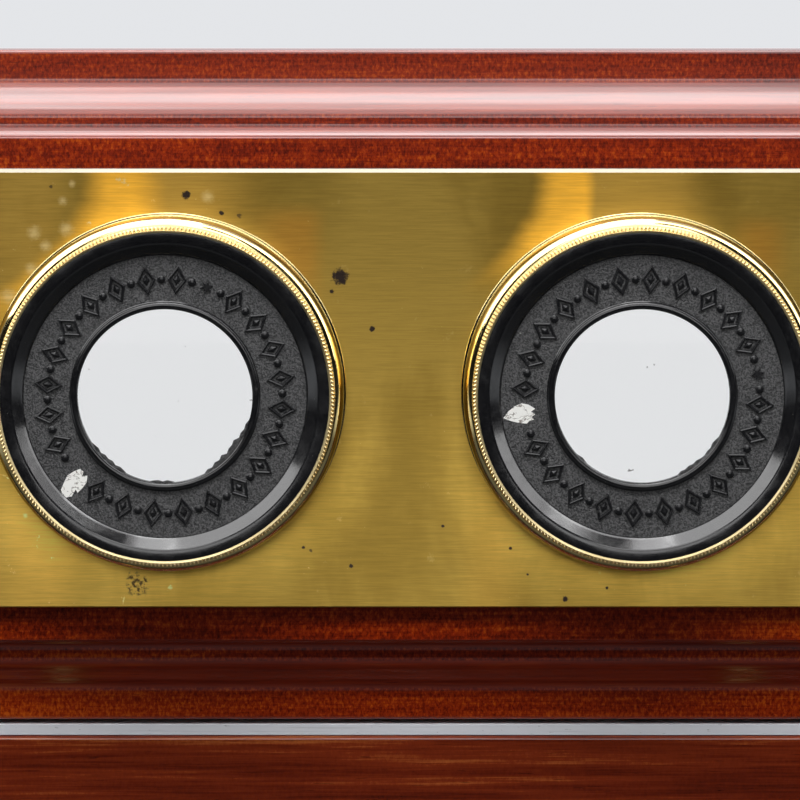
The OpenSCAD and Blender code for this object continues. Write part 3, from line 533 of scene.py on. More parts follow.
class Recipe:
    """The nodes of one finish, on a Principled shader."""

    def __init__(self, name: str, **shader: float | tuple) -> None:
        """Starts a finish.

        Args:
            name: Name of the finish.
            shader: Values for the shader's sockets, with _ for a space.
        """
        self.material = bpy.data.materials.new(name)
        self.material.use_nodes = True
        self.tree = self.material.node_tree
        self.shader = self.tree.nodes["Principled BSDF"]
        self.spot = self.add("TexCoord").outputs
        for socket, value in shader.items():
            self.shader.inputs[socket.replace("_", " ")].default_value = value

    def add(self, kind: str, inputs: dict | None = None, **settings: object) -> bpy.types.Node:
        """Adds a node.

        Args:
            kind: The node's type, without its prefix.
            inputs: Sockets to link, or values to set, by name or index.
            settings: The node's own settings.

        Returns:
            The node.
        """
        return add_node(self.tree, kind, inputs or {}, settings)

    def noise(self, scale: Place, detail: float = 3, roughness: float = 0.5, bend: float = 0,
              seed: float = 0) -> Socket:
        """Adds a noise with its own scale along each axis.

        Args:
            scale: Waves to the metre along x, y and z.
            detail: Octaves of finer noise.
            roughness: Strength of the finer octaves.
            bend: Distortion.
            seed: Place in the noise.

        Returns:
            Its value, from 0 to 1.
        """
        place = self.add("Mapping", {"Vector": self.spot["Object"], "Scale": scale, "Location": (seed,) * 3})
        sockets = {"Vector": place.outputs[0], "Scale": 1, "Detail": detail, "Roughness": roughness,
                   "Distortion": bend}
        return self.add("TexNoise", sockets).outputs["Fac"]

    def between(self, value: Socket, low: float, high: float, bottom: float = 0,
                top: float = 1) -> Socket:
        """Maps a range smoothly to another.

        Args:
            value: The value.
            low: Where the range starts.
            high: Where it ends.
            bottom: Result at low and below.
            top: Result at high and above.

        Returns:
            The mapped value.
        """
        sockets = {"Value": value, 1: low, 2: high, 3: bottom, 4: top}
        return self.add("MapRange", sockets, interpolation_type="SMOOTHSTEP").outputs[0]

    def sum(self, one: Socket, other: Socket | float, how: str = "ADD",
            third: Socket | float = 0.0) -> Socket:
        """Does arithmetic on two or three values.

        Args:
            one: The first value.
            other: The second.
            how: The operation.
            third: The third value, where the operation takes one.

        Returns:
            The result.
        """
        return self.add("Math", {0: one, 1: other, 2: third}, operation=how).outputs[0]

    def times(self, value: Socket, factor: Socket | float) -> Socket:
        """Returns a value times a factor."""
        return self.sum(value, factor, "MULTIPLY")

    def ramp(self, value: Socket, stops: Sequence[tuple[float, Colour]]) -> Socket:
        """Turns a value into a colour.

        Args:
            value: The value.
            stops: Places from 0 to 1 with their colours, in order.

        Returns:
            The colour.
        """
        node = self.add("ValToRGB", {"Fac": value})
        elements = node.color_ramp.elements
        while len(elements) < len(stops):
            elements.new(0.5)
        for element, (place, colour) in zip(elements, stops):
            element.position = place
            element.color = (*colour, 1)
        return node.outputs["Color"]

    def mix(self, share: Socket | float, one: object, other: object,
            how: str = "MIX") -> Socket:
        """Mixes two colours.

        Args:
            share: Share of the other colour.
            one: A colour or socket.
            other: A colour or socket.
            how: Blend type.

        Returns:
            The mixed colour.
        """
        first, second = [(*colour, 1) if isinstance(colour, tuple) else colour for colour in (one, other)]
        sockets = {0: share, 6: first, 7: second}
        return self.add("Mix", sockets, data_type="RGBA", blend_type=how).outputs[2]

    def stain(self, at: Place, radius: float, ragged: Socket, spread: float = 0.3) -> Socket:
        """Marks a stain.

        Args:
            at: Its centre, in millimetres.
            radius: Its radius, in millimetres.
            ragged: Noise that breaks its edge.
            spread: Share of the radius over which it fades.

        Returns:
            Its strength, 1 inside and 0 outside.
        """
        start = tuple(-place * MM for place in at)
        away = self.add("Mapping", {"Vector": self.spot["Object"], "Location": start})
        scaled = self.add("VectorMath", {0: away.outputs[0], 1: (1 / MM,) * 3}, operation="MULTIPLY")
        distance = self.add("VectorMath", {0: scaled.outputs[0]}, operation="LENGTH").outputs["Value"]
        raggedness, edge = 2.2, 2.1
        broken = self.sum(ragged, radius * raggedness, "MULTIPLY_ADD", distance)
        return self.between(broken, radius * (edge - spread), radius * (edge + spread), 1, 0)

    def most(self, *masks: Socket) -> Socket:
        """Puts masks over each other.

        Args:
            masks: The masks.

        Returns:
            The strongest of them at each point.
        """
        strongest = masks[0]
        for mask in masks[1:]:
            strongest = self.sum(strongest, mask, "MAXIMUM")
        return strongest

    def emboss(self, height: Socket, depth: float, strength: float = 1,
               socket: str = "Normal") -> None:
        """Gives the surface relief.

        Args:
            height: The relief, from 0 to 1.
            depth: Its depth, in millimetres.
            strength: Strength of the bump.
            socket: The normal that follows it.
        """
        bump = self.add("Bump", {"Height": height, "Distance": depth * MM, "Strength": strength})
        self.link(bump.outputs[0], socket)

    def link(self, value: Socket, socket: str) -> None:
        """Links a value to one of the shader's sockets."""
        self.tree.links.new(value, self.shader.inputs[socket])


@dataclass(frozen=True)
class Wood:
    """What the woods share: a grain along one axis."""

    name: str
    grain: Axis

    def spread(self, along: float, across: float) -> Place:
        """Returns waves to the metre for each axis, given those along and across the grain."""
        return tuple(along if way == self.grain else across for way in Axis)


@dataclass(frozen=True)
class Mahogany(Wood):
    """French-polished mahogany.

    It has broad figure, long streaks, fine lines, pores, and flecks on faces that look forward. Each share is
    how much of the colour's range a pattern moves. The wave is how far the streaks bend.
    """

    pores: Colour
    heart: Colour
    red: Colour
    gold: Colour
    flecks: float = 1.0
    streaks: float = 1.0
    wave: float = 0.0
    polish: float = 0.14
    figure_share: float = 0.55
    streak_share: float = 0.6
    fine_share: float = 0.35
    fleck_share: float = 1.15
    pore_share: float = 0.55
    base_tone: float = -0.25
    streak_tone: float = -0.3

    @property
    def fleck_scale(self) -> Place:
        """The flecks' waves to the metre, with the longest flecks across the grain."""
        across = Axis.X if self.grain == Axis.Z else Axis.Z
        return tuple({Axis.X: 2300.0, Axis.Y: 1000.0, Axis.Z: 2300.0, across: 1350.0}.values())

    def material(self) -> bpy.types.Material:
        """Builds the finish.

        Returns:
            Its material.
        """
        wood = Recipe(self.name, Roughness=0.6, Coat_Weight=1.0, Coat_Roughness=self.polish, Coat_IOR=1.68,
                      Specular_IOR_Level=0.0)
        figure = wood.noise(self.spread(9, 55), detail=3, roughness=0.55, bend=0.6)
        streak = wood.noise(self.spread(16, 620), detail=5, roughness=0.62, bend=self.wave, seed=3)
        fine = wood.noise(self.spread(90, 2600), detail=3, roughness=0.6, seed=7)
        fleck = wood.noise(self.fleck_scale, detail=4, roughness=0.68, bend=0.3, seed=11)
        forward = wood.add("SeparateXYZ", {0: wood.spot["Normal"]}).outputs[1]
        flat = wood.between(forward, -0.985, -0.93, self.flecks, 0)
        fleck = wood.times(wood.sum(fleck, -0.5), flat)
        value = wood.sum(wood.times(figure, self.figure_share),
                         wood.times(streak, self.streak_share * self.streaks))
        value = wood.sum(wood.times(fine, self.fine_share), value)
        value = wood.sum(wood.times(fleck, self.fleck_share), value)
        value = wood.sum(value, self.base_tone + self.streak_tone * (self.streaks - 1))
        stops = [(0.22, self.pores), (0.42, self.heart), (0.58, self.red), (0.82, self.gold)]
        pore = wood.between(wood.noise(self.spread(260, 3800), detail=2, seed=19), 0.66, 0.76)
        colour = wood.mix(wood.times(pore, self.pore_share), wood.ramp(value, stops), self.pores)
        wood.link(colour, "Base Color")
        wood.emboss(wood.sum(wood.sum(streak, fine), pore, "SUBTRACT"), depth=0.03, strength=0.35)
        sheen = wood.noise(self.spread(60, 500), detail=3, seed=23)
        wood.emboss(sheen, depth=0.012, strength=0.5, socket="Coat Normal")
        return wood.material


@dataclass(frozen=True)
class PlainWood(Wood):
    """Wood without polish: bare in the drawer, stained black inside the viewer."""

    dark: Colour
    light: Colour
    roughness: float

    def material(self) -> bpy.types.Material:
        """Builds the finish.

        Returns:
            Its material.
        """
        wood = Recipe(self.name, Roughness=self.roughness, Specular_IOR_Level=0.3)
        streak = wood.noise(self.spread(14, 420), detail=5, roughness=0.6, bend=0.8)
        pore = wood.noise(self.spread(160, 3200), detail=2, roughness=0.6, seed=5)
        value = wood.sum(wood.times(streak, 0.75), wood.times(pore, 0.35))
        wood.link(wood.ramp(value, [(0.35, self.dark), (0.75, self.light)]), "Base Color")
        wood.emboss(value, depth=0.08, strength=0.6)
        return wood.material


class Age(Enum):
    """How far a brass surface has aged: roughness, stain share and stain colour."""

    POLISHED = (0.08, 0.25, (0.55, 0.36, 0.10))
    MILLED = (0.30, 0.3, (0.52, 0.38, 0.16))
    SATIN = (0.30, 0.6, (0.30, 0.19, 0.07))


@dataclass(frozen=True)
class TurnedBrass:
    """Lacquered brass, polished on the showing pieces and satin on the rest."""

    name: str
    age: Age
    metal: Colour = (0.86, 0.69, 0.31)
    tarnish: Colour = (0.10, 0.05, 0.02)

    def material(self) -> bpy.types.Material:
        """Builds the finish.

        Returns:
            Its material.
        """
        roughness, stained, stain = self.age.value
        brass = Recipe(self.name, Metallic=1.0, Coat_Weight=0.5, Coat_Roughness=0.06)
        cloud = brass.noise((130, 130, 130), detail=5, roughness=0.6, bend=0.4)
        speck = brass.between(brass.noise((900, 900, 900), detail=3, roughness=0.6, seed=3), 0.63, 0.72)
        colour = brass.mix(brass.between(cloud, 0.42, 0.75, 0, stained), self.metal, stain)
        colour = brass.mix(brass.times(speck, 0.5 * stained), colour, self.tarnish)
        brass.link(colour, "Base Color")
        brass.link(brass.between(cloud, 0.35, 0.8, roughness, roughness + 0.14), "Roughness")
        brass.emboss(brass.noise((2500, 2500, 2500), detail=2, seed=9), depth=0.01, strength=0.25)
        return brass.material


@dataclass(frozen=True)
class PaintedReflectionBand:
    """A painted reflection band on the plate: a lighter or darker tone that stands for what the brushed brass
    reflects.

    Its sides, foot, head and ceiling are in millimetres from the middle of the plate's front. The left side
    bends away to the left below the plate's top edge, as the painted glow beside a barrel does. The band
    fades out above its ceiling.
    """

    colour: Colour
    left: float
    right: float
    foot: float
    head: float
    strength: float
    bend: float = 0.0
    soft_left: float = 1.0
    soft_right: float = 1.0
    ceiling: float = 40.0


@dataclass(frozen=True)
class BrushedPlate:
    """The lens plate: brass brushed from side to side, with old lacquer, stains, pits and painted
    reflections.

    A spot is its x and z from the middle of the plate's front, and its radius, in millimetres. Light is
    painted under the barrels, where their shadow falls: the under-barrel field holds the distances from the
    lens axis where it starts and stops fading, and its share.
    """

    name: str
    middle: Vector
    front: float
    metal: Colour = (0.365, 0.238, 0.047)
    dull: Colour = (0.295, 0.188, 0.034)
    pale: Colour = (0.84, 0.65, 0.29)
    # Colour of the faces that point up, the top bevel: greyer and less yellow, a painted highlight tint.
    bevel: Colour = (0.20, 0.175, 0.130)
    # Colours of the painted bands: gold, amber and ember are painted reflections of the barrels' highlights,
    # shade is a painted dark reflection.
    gold: Colour = (1.0, 0.52, 0.055)
    reflected_amber: Colour = (0.52, 0.310, 0.058)
    shade: Colour = (0.19, 0.119, 0.019)
    reflected_ember: Colour = (0.47, 0.220, 0.031)
    black: Colour = (0.050, 0.036, 0.030)
    black_spots: tuple[Spot, ...] = (
        (-8.9, 16.0, 1.0), (-10.0, 13.9, 0.3), (-4.4, 8.7, 0.36), (-30.3, 27.4, 0.55), (-25.4, 24.9, 0.3),
        (15.0, -22.1, 0.22), (17.4, -25.8, 0.16), (22.7, -29.3, 0.35), (28.5, -27.7, 0.2), (5.5, -19.0, 0.2),
        (-7.4, -24.6, 0.3), (-14.0, -22.0, 0.22))
    pale_spots: tuple[Spot, ...] = (
        (-27.3, 27.2, 0.8), (-47.5, 26.6, 0.55), (-46.2, 29.0, 0.45), (-47.0, 22.7, 0.9), (-51.5, 22.2, 0.9),
        (-49.9, 20.3, 0.75), (-51.9, 17.1, 0.8), (-55.1, 13.3, 1.0), (-54.2, -13.0, 0.3), (-53.0, -17.5, 0.3))
    rough_patch: Spot = (-37.4, -27.2, 1.5)
    half_height: float = 30.0
    # Painted light at the plate's foot and painted shade at its head.
    painted_foot_light: float = 1.60
    painted_head_shade: float = 0.78
    lens_spacing: float = 66.0
    # Painted light under the barrels, where their shadow falls: near, far and share.
    painted_light_under_barrels: tuple[float, float, float] = (24.0, 35.0, 0.95)
    wobble: Point = (0.0022, 0.0012)
    ceiling_fade: float = 4.0

    @property
    def painted_bands(self) -> tuple[PaintedReflectionBand, ...]:
        """The painted reflection and painted shade bands beside the eyepieces, in the order that they are
        painted over each other.
        """
        # Each band is painted light: gold, amber and ember bands are painted reflections of the barrels'
        # highlights, shade bands are painted dark reflections.
        return (
            PaintedReflectionBand(self.reflected_amber, -66.0, -48.0, -4, 24, 0.45, 0.0, 6.0, 3.0),
            PaintedReflectionBand(self.shade, -48.5, -42.5, 12, 28, 0.3, 0.040, 3.2, 2.0),
            PaintedReflectionBand(self.shade, 13.6, 20.0, 13, 29, 0.6, 0.040, 3.6, 1.6),
            PaintedReflectionBand(self.reflected_amber, -37.0, -22.0, 10, 30, 0.7, 0.0, 1.6, 6.0),
            PaintedReflectionBand(self.reflected_amber, 25.0, 42.0, 10, 30, 0.6, 0.0, 1.2, 5.0),
            PaintedReflectionBand(self.shade, -22.0, -9.0, 14, 30, 0.5, 0.0, 5.0, 4.0),
            PaintedReflectionBand(self.shade, 40.5, 46.5, 14, 30, 0.7, 0.0, 3.5, 2.5),
            PaintedReflectionBand(self.reflected_ember, -19.6, -12.0, 10, 18, 0.6, 0.0, 4.0, 1.8, 23.0),
            PaintedReflectionBand(self.reflected_ember, 47.0, 52.5, 12, 19, 0.6, 0.0, 2.5, 2.5, 21.5),
            PaintedReflectionBand(self.gold, -42.9, -35.4, 4, 22, 1.0, 0.050, 2.6, 3.0),
            PaintedReflectionBand(self.gold, 19.8, 26.0, 13, 23, 0.95, 0.047, 2.0, 1.0),
            PaintedReflectionBand(self.reflected_amber, 8.6, 15.5, -30, -8, 0.5, 0.0, 2.5, 3.0),
            PaintedReflectionBand(self.reflected_amber, -56.0, -47.0, -24, -12, 0.5, 0.0, 3.0, 3.0),
        )

    def material(self) -> bpy.types.Material:
        """Builds the finish.

        Returns:
            Its material.
        """
        brass = Recipe(self.name, Metallic=1.0, Anisotropic=0.82, Anisotropic_Rotation=0.25, Coat_Weight=0.35,
                       Coat_Roughness=0.12)
        brass.link(brass.add("Tangent", direction_type="UV_MAP").outputs[0], "Tangent")
        brush = brass.noise((95, 1, 3100), detail=5, roughness=0.72)
        hair = brass.noise((260, 1, 7000), detail=3, roughness=0.6, seed=4)
        lines = brass.sum(brush, brass.times(hair, 0.6))
        cloud = brass.noise((60, 1, 34), detail=4, roughness=0.6, bend=0.4, seed=2)
        speck = brass.noise((1700, 1, 1700), detail=3, roughness=0.6, seed=12)
        ragged = brass.noise((1500, 1, 1500), detail=5, roughness=0.7, seed=15)
        place = brass.add("SeparateXYZ", {0: brass.spot["Object"]}).outputs
        colour = brass.mix(brass.between(cloud, 0.38, 0.62), self.dull, self.metal)
        # Painted reflections: light and dark bands over the brass colour that stand for what the brushed
        # brass reflects.
        for painted_band in self.painted_bands:
            colour = brass.mix(self.painted_band_share(brass, place, painted_band), colour, painted_band.colour)
        colour = brass.mix(self.pale_marks(brass, place, speck, ragged), colour, self.pale)
        dark = self.dark_marks(brass, speck, ragged)
        colour = brass.mix(dark, colour, self.black)
        # Painted light and shade: lighter at the foot and under the barrels, darker at the head, times the
        # brush lines.
        tone = self.tone(brass, place, brass.between(lines, 0.60, 1.0, 0.88, 1.09))
        colour = brass.mix(1.0, colour, tone, "MULTIPLY")
        # Faces that point up take the bevel colour: a painted highlight tint on the top bevel.
        upward = brass.add("SeparateXYZ", {0: brass.spot["Normal"]}).outputs[2]
        brass.link(brass.mix(brass.between(upward, 0.25, 0.4), colour, self.bevel), "Base Color")
        rough = brass.sum(brass.between(cloud, 0.3, 0.7, 0.33, 0.38), brass.times(dark, 0.35))
        brass.link(rough, "Roughness")
        brass.emboss(lines, depth=0.010, strength=0.4)
        return brass.material

    def at(self, x: float, z: float) -> Place:
        """Returns the place of a point on the plate's front, given from its middle, in millimetres."""
        return (x, self.front, self.middle.z + z)

    def pale_marks(self, brass: Recipe, place: Sequence[Socket], speck: Socket,
                   ragged: Socket) -> Socket:
        """Marks the worn patches, which are more on the left, the fly specks and the pale spots.

        Args:
            brass: The recipe.
            place: The coordinates on the object, in metres.
            speck: The specks' noise.
            ragged: Noise that breaks an edge.

        Returns:
            Their strength.
        """
        blotch = brass.noise((420, 1, 420), detail=6, roughness=0.68, bend=0.2, seed=8)
        worn_side = brass.between(place[0], -0.046, -0.020, 0.8, 0.10)
        worn = brass.times(brass.between(blotch, 0.635, 0.70), worn_side)
        fly = brass.times(brass.between(speck, 0.71, 0.77), 0.45)
        spots = [brass.stain(self.at(x, z), 0.75 * radius, ragged, spread=1.1)
                 for x, z, radius in self.pale_spots]
        return brass.most(worn, fly, brass.times(brass.most(*spots), 0.55))

    def dark_marks(self, brass: Recipe, speck: Socket,
                   ragged: Socket) -> Socket:
        """Marks the black spots, the rough patch and the pits.

        Args:
            brass: The recipe.
            speck: The specks' noise.
            ragged: Noise that breaks an edge.

        Returns:
            Their strength.
        """
        spots = [brass.stain(self.at(x, z), radius, ragged) for x, z, radius in self.black_spots]
        x, z, radius = self.rough_patch
        patch = brass.times(brass.stain(self.at(x, z), radius, ragged), brass.between(speck, 0.45, 0.6))
        pits = brass.between(brass.noise((420, 1, 420), detail=2, seed=31), 0.745, 0.765)
        return brass.most(*spots, brass.times(patch, 0.8), brass.times(pits, 0.7))

    def tone(self, brass: Recipe, place: Sequence[Socket],
             lines: Socket) -> Socket:
        """Works out the painted light and shade: lighter towards the plate's foot and under the barrels.

        Args:
            brass: The recipe.
            place: The coordinates on the object, in metres.
            lines: The tone of the brush lines.

        Returns:
            The tone, as a grey.
        """
        foot, head = (self.middle.z - self.half_height) * MM, (self.middle.z + self.half_height) * MM
        # Painted light towards the foot, painted shade towards the head.
        fade = brass.times(brass.between(place[2], foot, head, self.painted_foot_light, self.painted_head_shade), lines)
        # Painted light under the barrels, where their shadow falls.
        fade = brass.times(fade, self.painted_light_below_barrels(brass, place))
        return brass.add("CombineColor", {0: fade, 1: fade, 2: fade}).outputs[0]

    def painted_light_below_barrels(self, brass: Recipe, place: Sequence[Socket]) -> Socket:
        """Marks the painted light under the barrels, where their shadow falls.

        Args:
            brass: The recipe.
            place: The coordinates on the object, in metres.

        Returns:
            Its tone, 1 elsewhere.
        """
        near, far, more = self.painted_light_under_barrels
        aside = brass.sum(brass.sum(place[0], 0, "ABSOLUTE"), -self.lens_spacing / 2 * MM)
        below = brass.sum(place[2], -self.middle.z * MM)
        across = brass.times(aside, aside)
        away = brass.sum(brass.sum(below, below, "MULTIPLY_ADD", across), 0.5, "POWER")
        close = brass.between(away, near * MM, far * MM, more, 0)
        low = brass.between(below, -22 * MM, 2 * MM, 1, 0)
        return brass.sum(brass.times(close, low), 1)

    def painted_band_share(self, brass: Recipe, place: Sequence[Socket], painted_band: PaintedReflectionBand) -> Socket:
        """Marks where a painted reflection band lies.

        Args:
            brass: The recipe.
            place: The coordinates on the object, in metres.
            painted_band: The painted reflection band.

        Returns:
            Its strength.
        """
        top = (self.middle.z + self.half_height) * MM
        below = brass.sum(brass.times(place[2], -1), top)
        bent = brass.sum(brass.times(below, below), painted_band.bend / MM, "MULTIPLY_ADD", place[0])
        uneven = brass.sum(brass.noise((160, 1, 420), detail=3, roughness=0.6, seed=40), -0.5)
        bent, straight = [brass.sum(uneven, wobble, "MULTIPLY_ADD", side)
                          for wobble, side in zip(self.wobble, (bent, place[0]))]
        left, soft_left = painted_band.left * MM, painted_band.soft_left * MM
        right, soft_right = painted_band.right * MM, painted_band.soft_right * MM
        inside = brass.times(brass.between(bent, left - soft_left, left + soft_left),
                             brass.between(straight, right - soft_right, right + soft_right, 1, 0))
        foot, head = (self.middle.z + painted_band.foot) * MM, (self.middle.z + painted_band.head) * MM
        low, high = (painted_band.strength, 0) if painted_band.head < 0 else (0, painted_band.strength)
        ceiling = (self.middle.z + painted_band.ceiling) * MM
        inside = brass.times(inside, brass.between(place[2], ceiling, ceiling + self.ceiling_fade * MM, 1, 0))
        return brass.times(inside, brass.between(place[2], foot, head, low, high))


@dataclass(frozen=True)
class Ebonite:
    """Moulded black rubber: glossy on the rim and slope, duller on the relief and matt on the sunk ground."""

    name: str
    roughness: float
    grain: float
    shine: float = 0.5
    black: Colour = (0.005, 0.005, 0.006)
    dusty: Colour = (0.010, 0.010, 0.011)
    dust: Colour = (0.30, 0.29, 0.27)
    pitch: float = 2900.0
    motes: float = 0.25

    def material(self) -> bpy.types.Material:
        """Builds the finish.

        Returns:
            Its material.
        """
        rubber = Recipe(self.name, Specular_IOR_Level=self.shine)
        leather = rubber.noise((self.pitch,) * 3, detail=2, roughness=0.7)
        dust = rubber.noise((1400, 1400, 1400), detail=5, roughness=0.75, seed=17)
        scuff = rubber.noise((260, 260, 260), detail=5, roughness=0.65, bend=0.6, seed=5)
        colour = rubber.mix(rubber.between(leather, 0.36, 0.66), self.black, self.dusty)
        mote = rubber.times(rubber.between(dust, 0.66, 0.72), self.motes)
        rubber.link(rubber.mix(mote, colour, self.dust), "Base Color")
        rubber.link(rubber.between(scuff, 0.35, 0.75, self.roughness, self.roughness + 0.14), "Roughness")
        rubber.emboss(leather, depth=0.06, strength=self.grain)
        return rubber.material


@dataclass(frozen=True)
class FlakedGround:
    """The pale filler that shows where the black has chipped off, with dark veins."""

    name: str
    pale: Colour = (0.90, 0.89, 0.85)
    vein: Colour = (0.20, 0.17, 0.14)

    def material(self) -> bpy.types.Material:
        """Builds the finish.

        Returns:
            Its material.
        """
        filler = Recipe(self.name, Roughness=0.75)
        crack = filler.noise((420, 1, 700), detail=3, roughness=0.6, bend=0.8, seed=21)
        off = filler.sum(filler.sum(crack, -0.5), 0, "ABSOLUTE")
        veined = filler.between(off, 0.004, 0.022, 0.9, 0)
        filler.link(filler.mix(veined, self.pale, self.vein), "Base Color")
        filler.emboss(filler.noise((1500, 1500, 1500), detail=4, roughness=0.6), depth=0.06, strength=0.8)
        return filler.material


@dataclass(frozen=True)
class BrushedStrip:
    """Pale metal brushed along x, with scratches and small dark pits."""

    name: str
    metal: Colour
    roughness: float
    metallic: float = 1.0
    worn_tone: float = 0.35

    def material(self) -> bpy.types.Material:
        """Builds the finish.

        Returns:
            Its material.
        """
        strip = Recipe(self.name, Metallic=self.metallic)
        brush = strip.noise((14, 5200, 5200), detail=4, roughness=0.7)
        scratch = strip.between(strip.noise((40, 3600, 3600), detail=3, roughness=0.6, seed=6), 0.60, 0.68)
        pit = strip.between(strip.noise((700, 2200, 2200), detail=3, roughness=0.6, seed=9), 0.66, 0.72)
        worn = strip.most(strip.times(scratch, 0.35), strip.times(pit, 0.6))
        worn_metal = tuple(part * self.worn_tone for part in self.metal)
        strip.link(strip.mix(worn, self.metal, worn_metal), "Base Color")
        strip.link(strip.between(brush, 0.3, 0.7, self.roughness, self.roughness + 0.15), "Roughness")
        strip.emboss(brush, depth=0.02, strength=0.6)
        return strip.material


@dataclass(frozen=True)
class ClearGlass:
    """Polished lens glass with a few specks of dust."""

    name: str
    clear: Colour = (1.0, 1.0, 1.0)
    dust: Colour = (0.35, 0.34, 0.33)

    def material(self) -> bpy.types.Material:
        """Builds the finish.

        Returns:
            Its material.
        """
        glass = Recipe(self.name, Transmission_Weight=1.0, IOR=1.2, Roughness=0.0)
        speck = glass.between(glass.noise((600, 600, 600), detail=3), 0.755, 0.765)
        glass.link(glass.mix(speck, self.clear, self.dust), "Base Color")
        return glass.material


@dataclass(frozen=True)
class GroundGlass:
    """Glass ground on one side: light comes through and shapes behind it blur."""

    name: str
    shade: Colour = (0.97, 0.985, 0.98)
    clear: Colour = (1.0, 1.0, 1.0)

    def material(self) -> bpy.types.Material:
        """Builds the finish.

        Returns:
            Its material.
        """
        glass = Recipe(self.name, Transmission_Weight=1.0, IOR=1.12)
        grain = glass.noise((2600, 2600, 2600), detail=3, roughness=0.6)
        glass.link(glass.mix(grain, self.shade, self.clear), "Base Color")
        glass.link(glass.between(grain, 0.3, 0.7, 0.42, 0.55), "Roughness")
        return glass.material


@dataclass(frozen=True)
class SilveredGlass:
    """Old mirror glass, dimmed in places."""

    name: str
    silver: Colour = (0.88, 0.89, 0.89)
    dim: Colour = (0.55, 0.54, 0.50)

    def material(self) -> bpy.types.Material:
        """Builds the finish.

        Returns:
            Its material.
        """
        mirror = Recipe(self.name, Metallic=1.0, Coat_Weight=1.0, Coat_Roughness=0.02)
        bloom = mirror.noise((160, 160, 160), detail=5, roughness=0.65, bend=0.5)
        mirror.link(mirror.mix(mirror.between(bloom, 0.55, 0.72), self.silver, self.dim), "Base Color")
        mirror.link(mirror.between(bloom, 0.5, 0.8, 0.02, 0.16), "Roughness")
        return mirror.material


class Finishes:
    """Every finish, built once."""

    red_tones = (
        (0.064, 0.0043, 0.0008), (0.163, 0.0110, 0.0011), (0.275, 0.0225, 0.0014), (0.50, 0.085, 0.004))
    brown_tones = (
        (0.031, 0.0035, 0.0012), (0.104, 0.0108, 0.0027), (0.172, 0.0220, 0.0052), (0.47, 0.135, 0.028))
    bare_tones = ((0.26, 0.11, 0.045), (0.46, 0.23, 0.105))
    black_tones = ((0.008, 0.0075, 0.007), (0.022, 0.020, 0.018))

    def __init__(self, plate_middle: Vector, plate_front: float) -> None:
        """Builds the finishes.

        Args:
            plate_middle: Middle of the lens axes, in millimetres.
            plate_front: Y of the lens plate's front.
        """
        calm = {"flecks": 0.3}
        streaky = {"flecks": 0.15, "streaks": 1.35, "wave": 0.5}
        self.rail = Mahogany("mahogany_rail", Axis.X, *self.red_tones).material()
        self.stile = Mahogany("mahogany_stile", Axis.Z, *self.red_tones).material()
        self.side = Mahogany("mahogany_side", Axis.Y, *self.red_tones, **calm).material()
        self.top = Mahogany("mahogany_top", Axis.X, *self.red_tones, **calm).material()
        self.front = Mahogany("mahogany_front", Axis.X, *self.brown_tones, **streaky).material()
        self.cabinet_side = Mahogany("mahogany_cabinet_side", Axis.Y, *self.brown_tones, **streaky).material()
        self.bare = PlainWood("bare_drawer_wood", Axis.Y, *self.bare_tones, 0.62).material()
        self.bare_cross = PlainWood("bare_drawer_rear", Axis.X, *self.bare_tones, 0.62).material()
        self.black_wood = PlainWood("blackened_wood", Axis.Y, *self.black_tones, 0.75).material()
        self.polished = TurnedBrass("polished_brass", Age.POLISHED).material()
        self.milled = TurnedBrass("milled_brass", Age.MILLED, (0.98, 0.79, 0.42)).material()
        self.satin = TurnedBrass("satin_brass", Age.SATIN, (0.62, 0.44, 0.16)).material()
        self.dull = TurnedBrass("dull_brass", Age.SATIN, (0.34, 0.235, 0.09)).material()
        self.plate = BrushedPlate("brushed_plate", plate_middle, plate_front).material()
        self.gloss = Ebonite("ebonite_gloss", roughness=0.12, grain=0.06, shine=0.8).material()
        self.relief = Ebonite("ebonite_relief", roughness=0.22, grain=0.25).material()
        self.ground = Ebonite("ebonite_ground", roughness=0.42, grain=1.8, black=(0.012, 0.012, 0.013),
                              dusty=(0.095, 0.094, 0.095), pitch=3900.0, motes=0.8).material()
        self.flaked = FlakedGround("flaked_ground").material()
        self.strip = BrushedStrip("nickel_silver", (0.66, 0.67, 0.705), 0.42, metallic=0.35).material()
        self.steel = BrushedStrip("turned_steel", (0.52, 0.51, 0.49), 0.28).material()
        self.lens = ClearGlass("lens_glass").material()
        self.ground_glass = GroundGlass("ground_glass").material()
        self.mirror = SilveredGlass("silvered_glass").material()


# Sub-assemblies


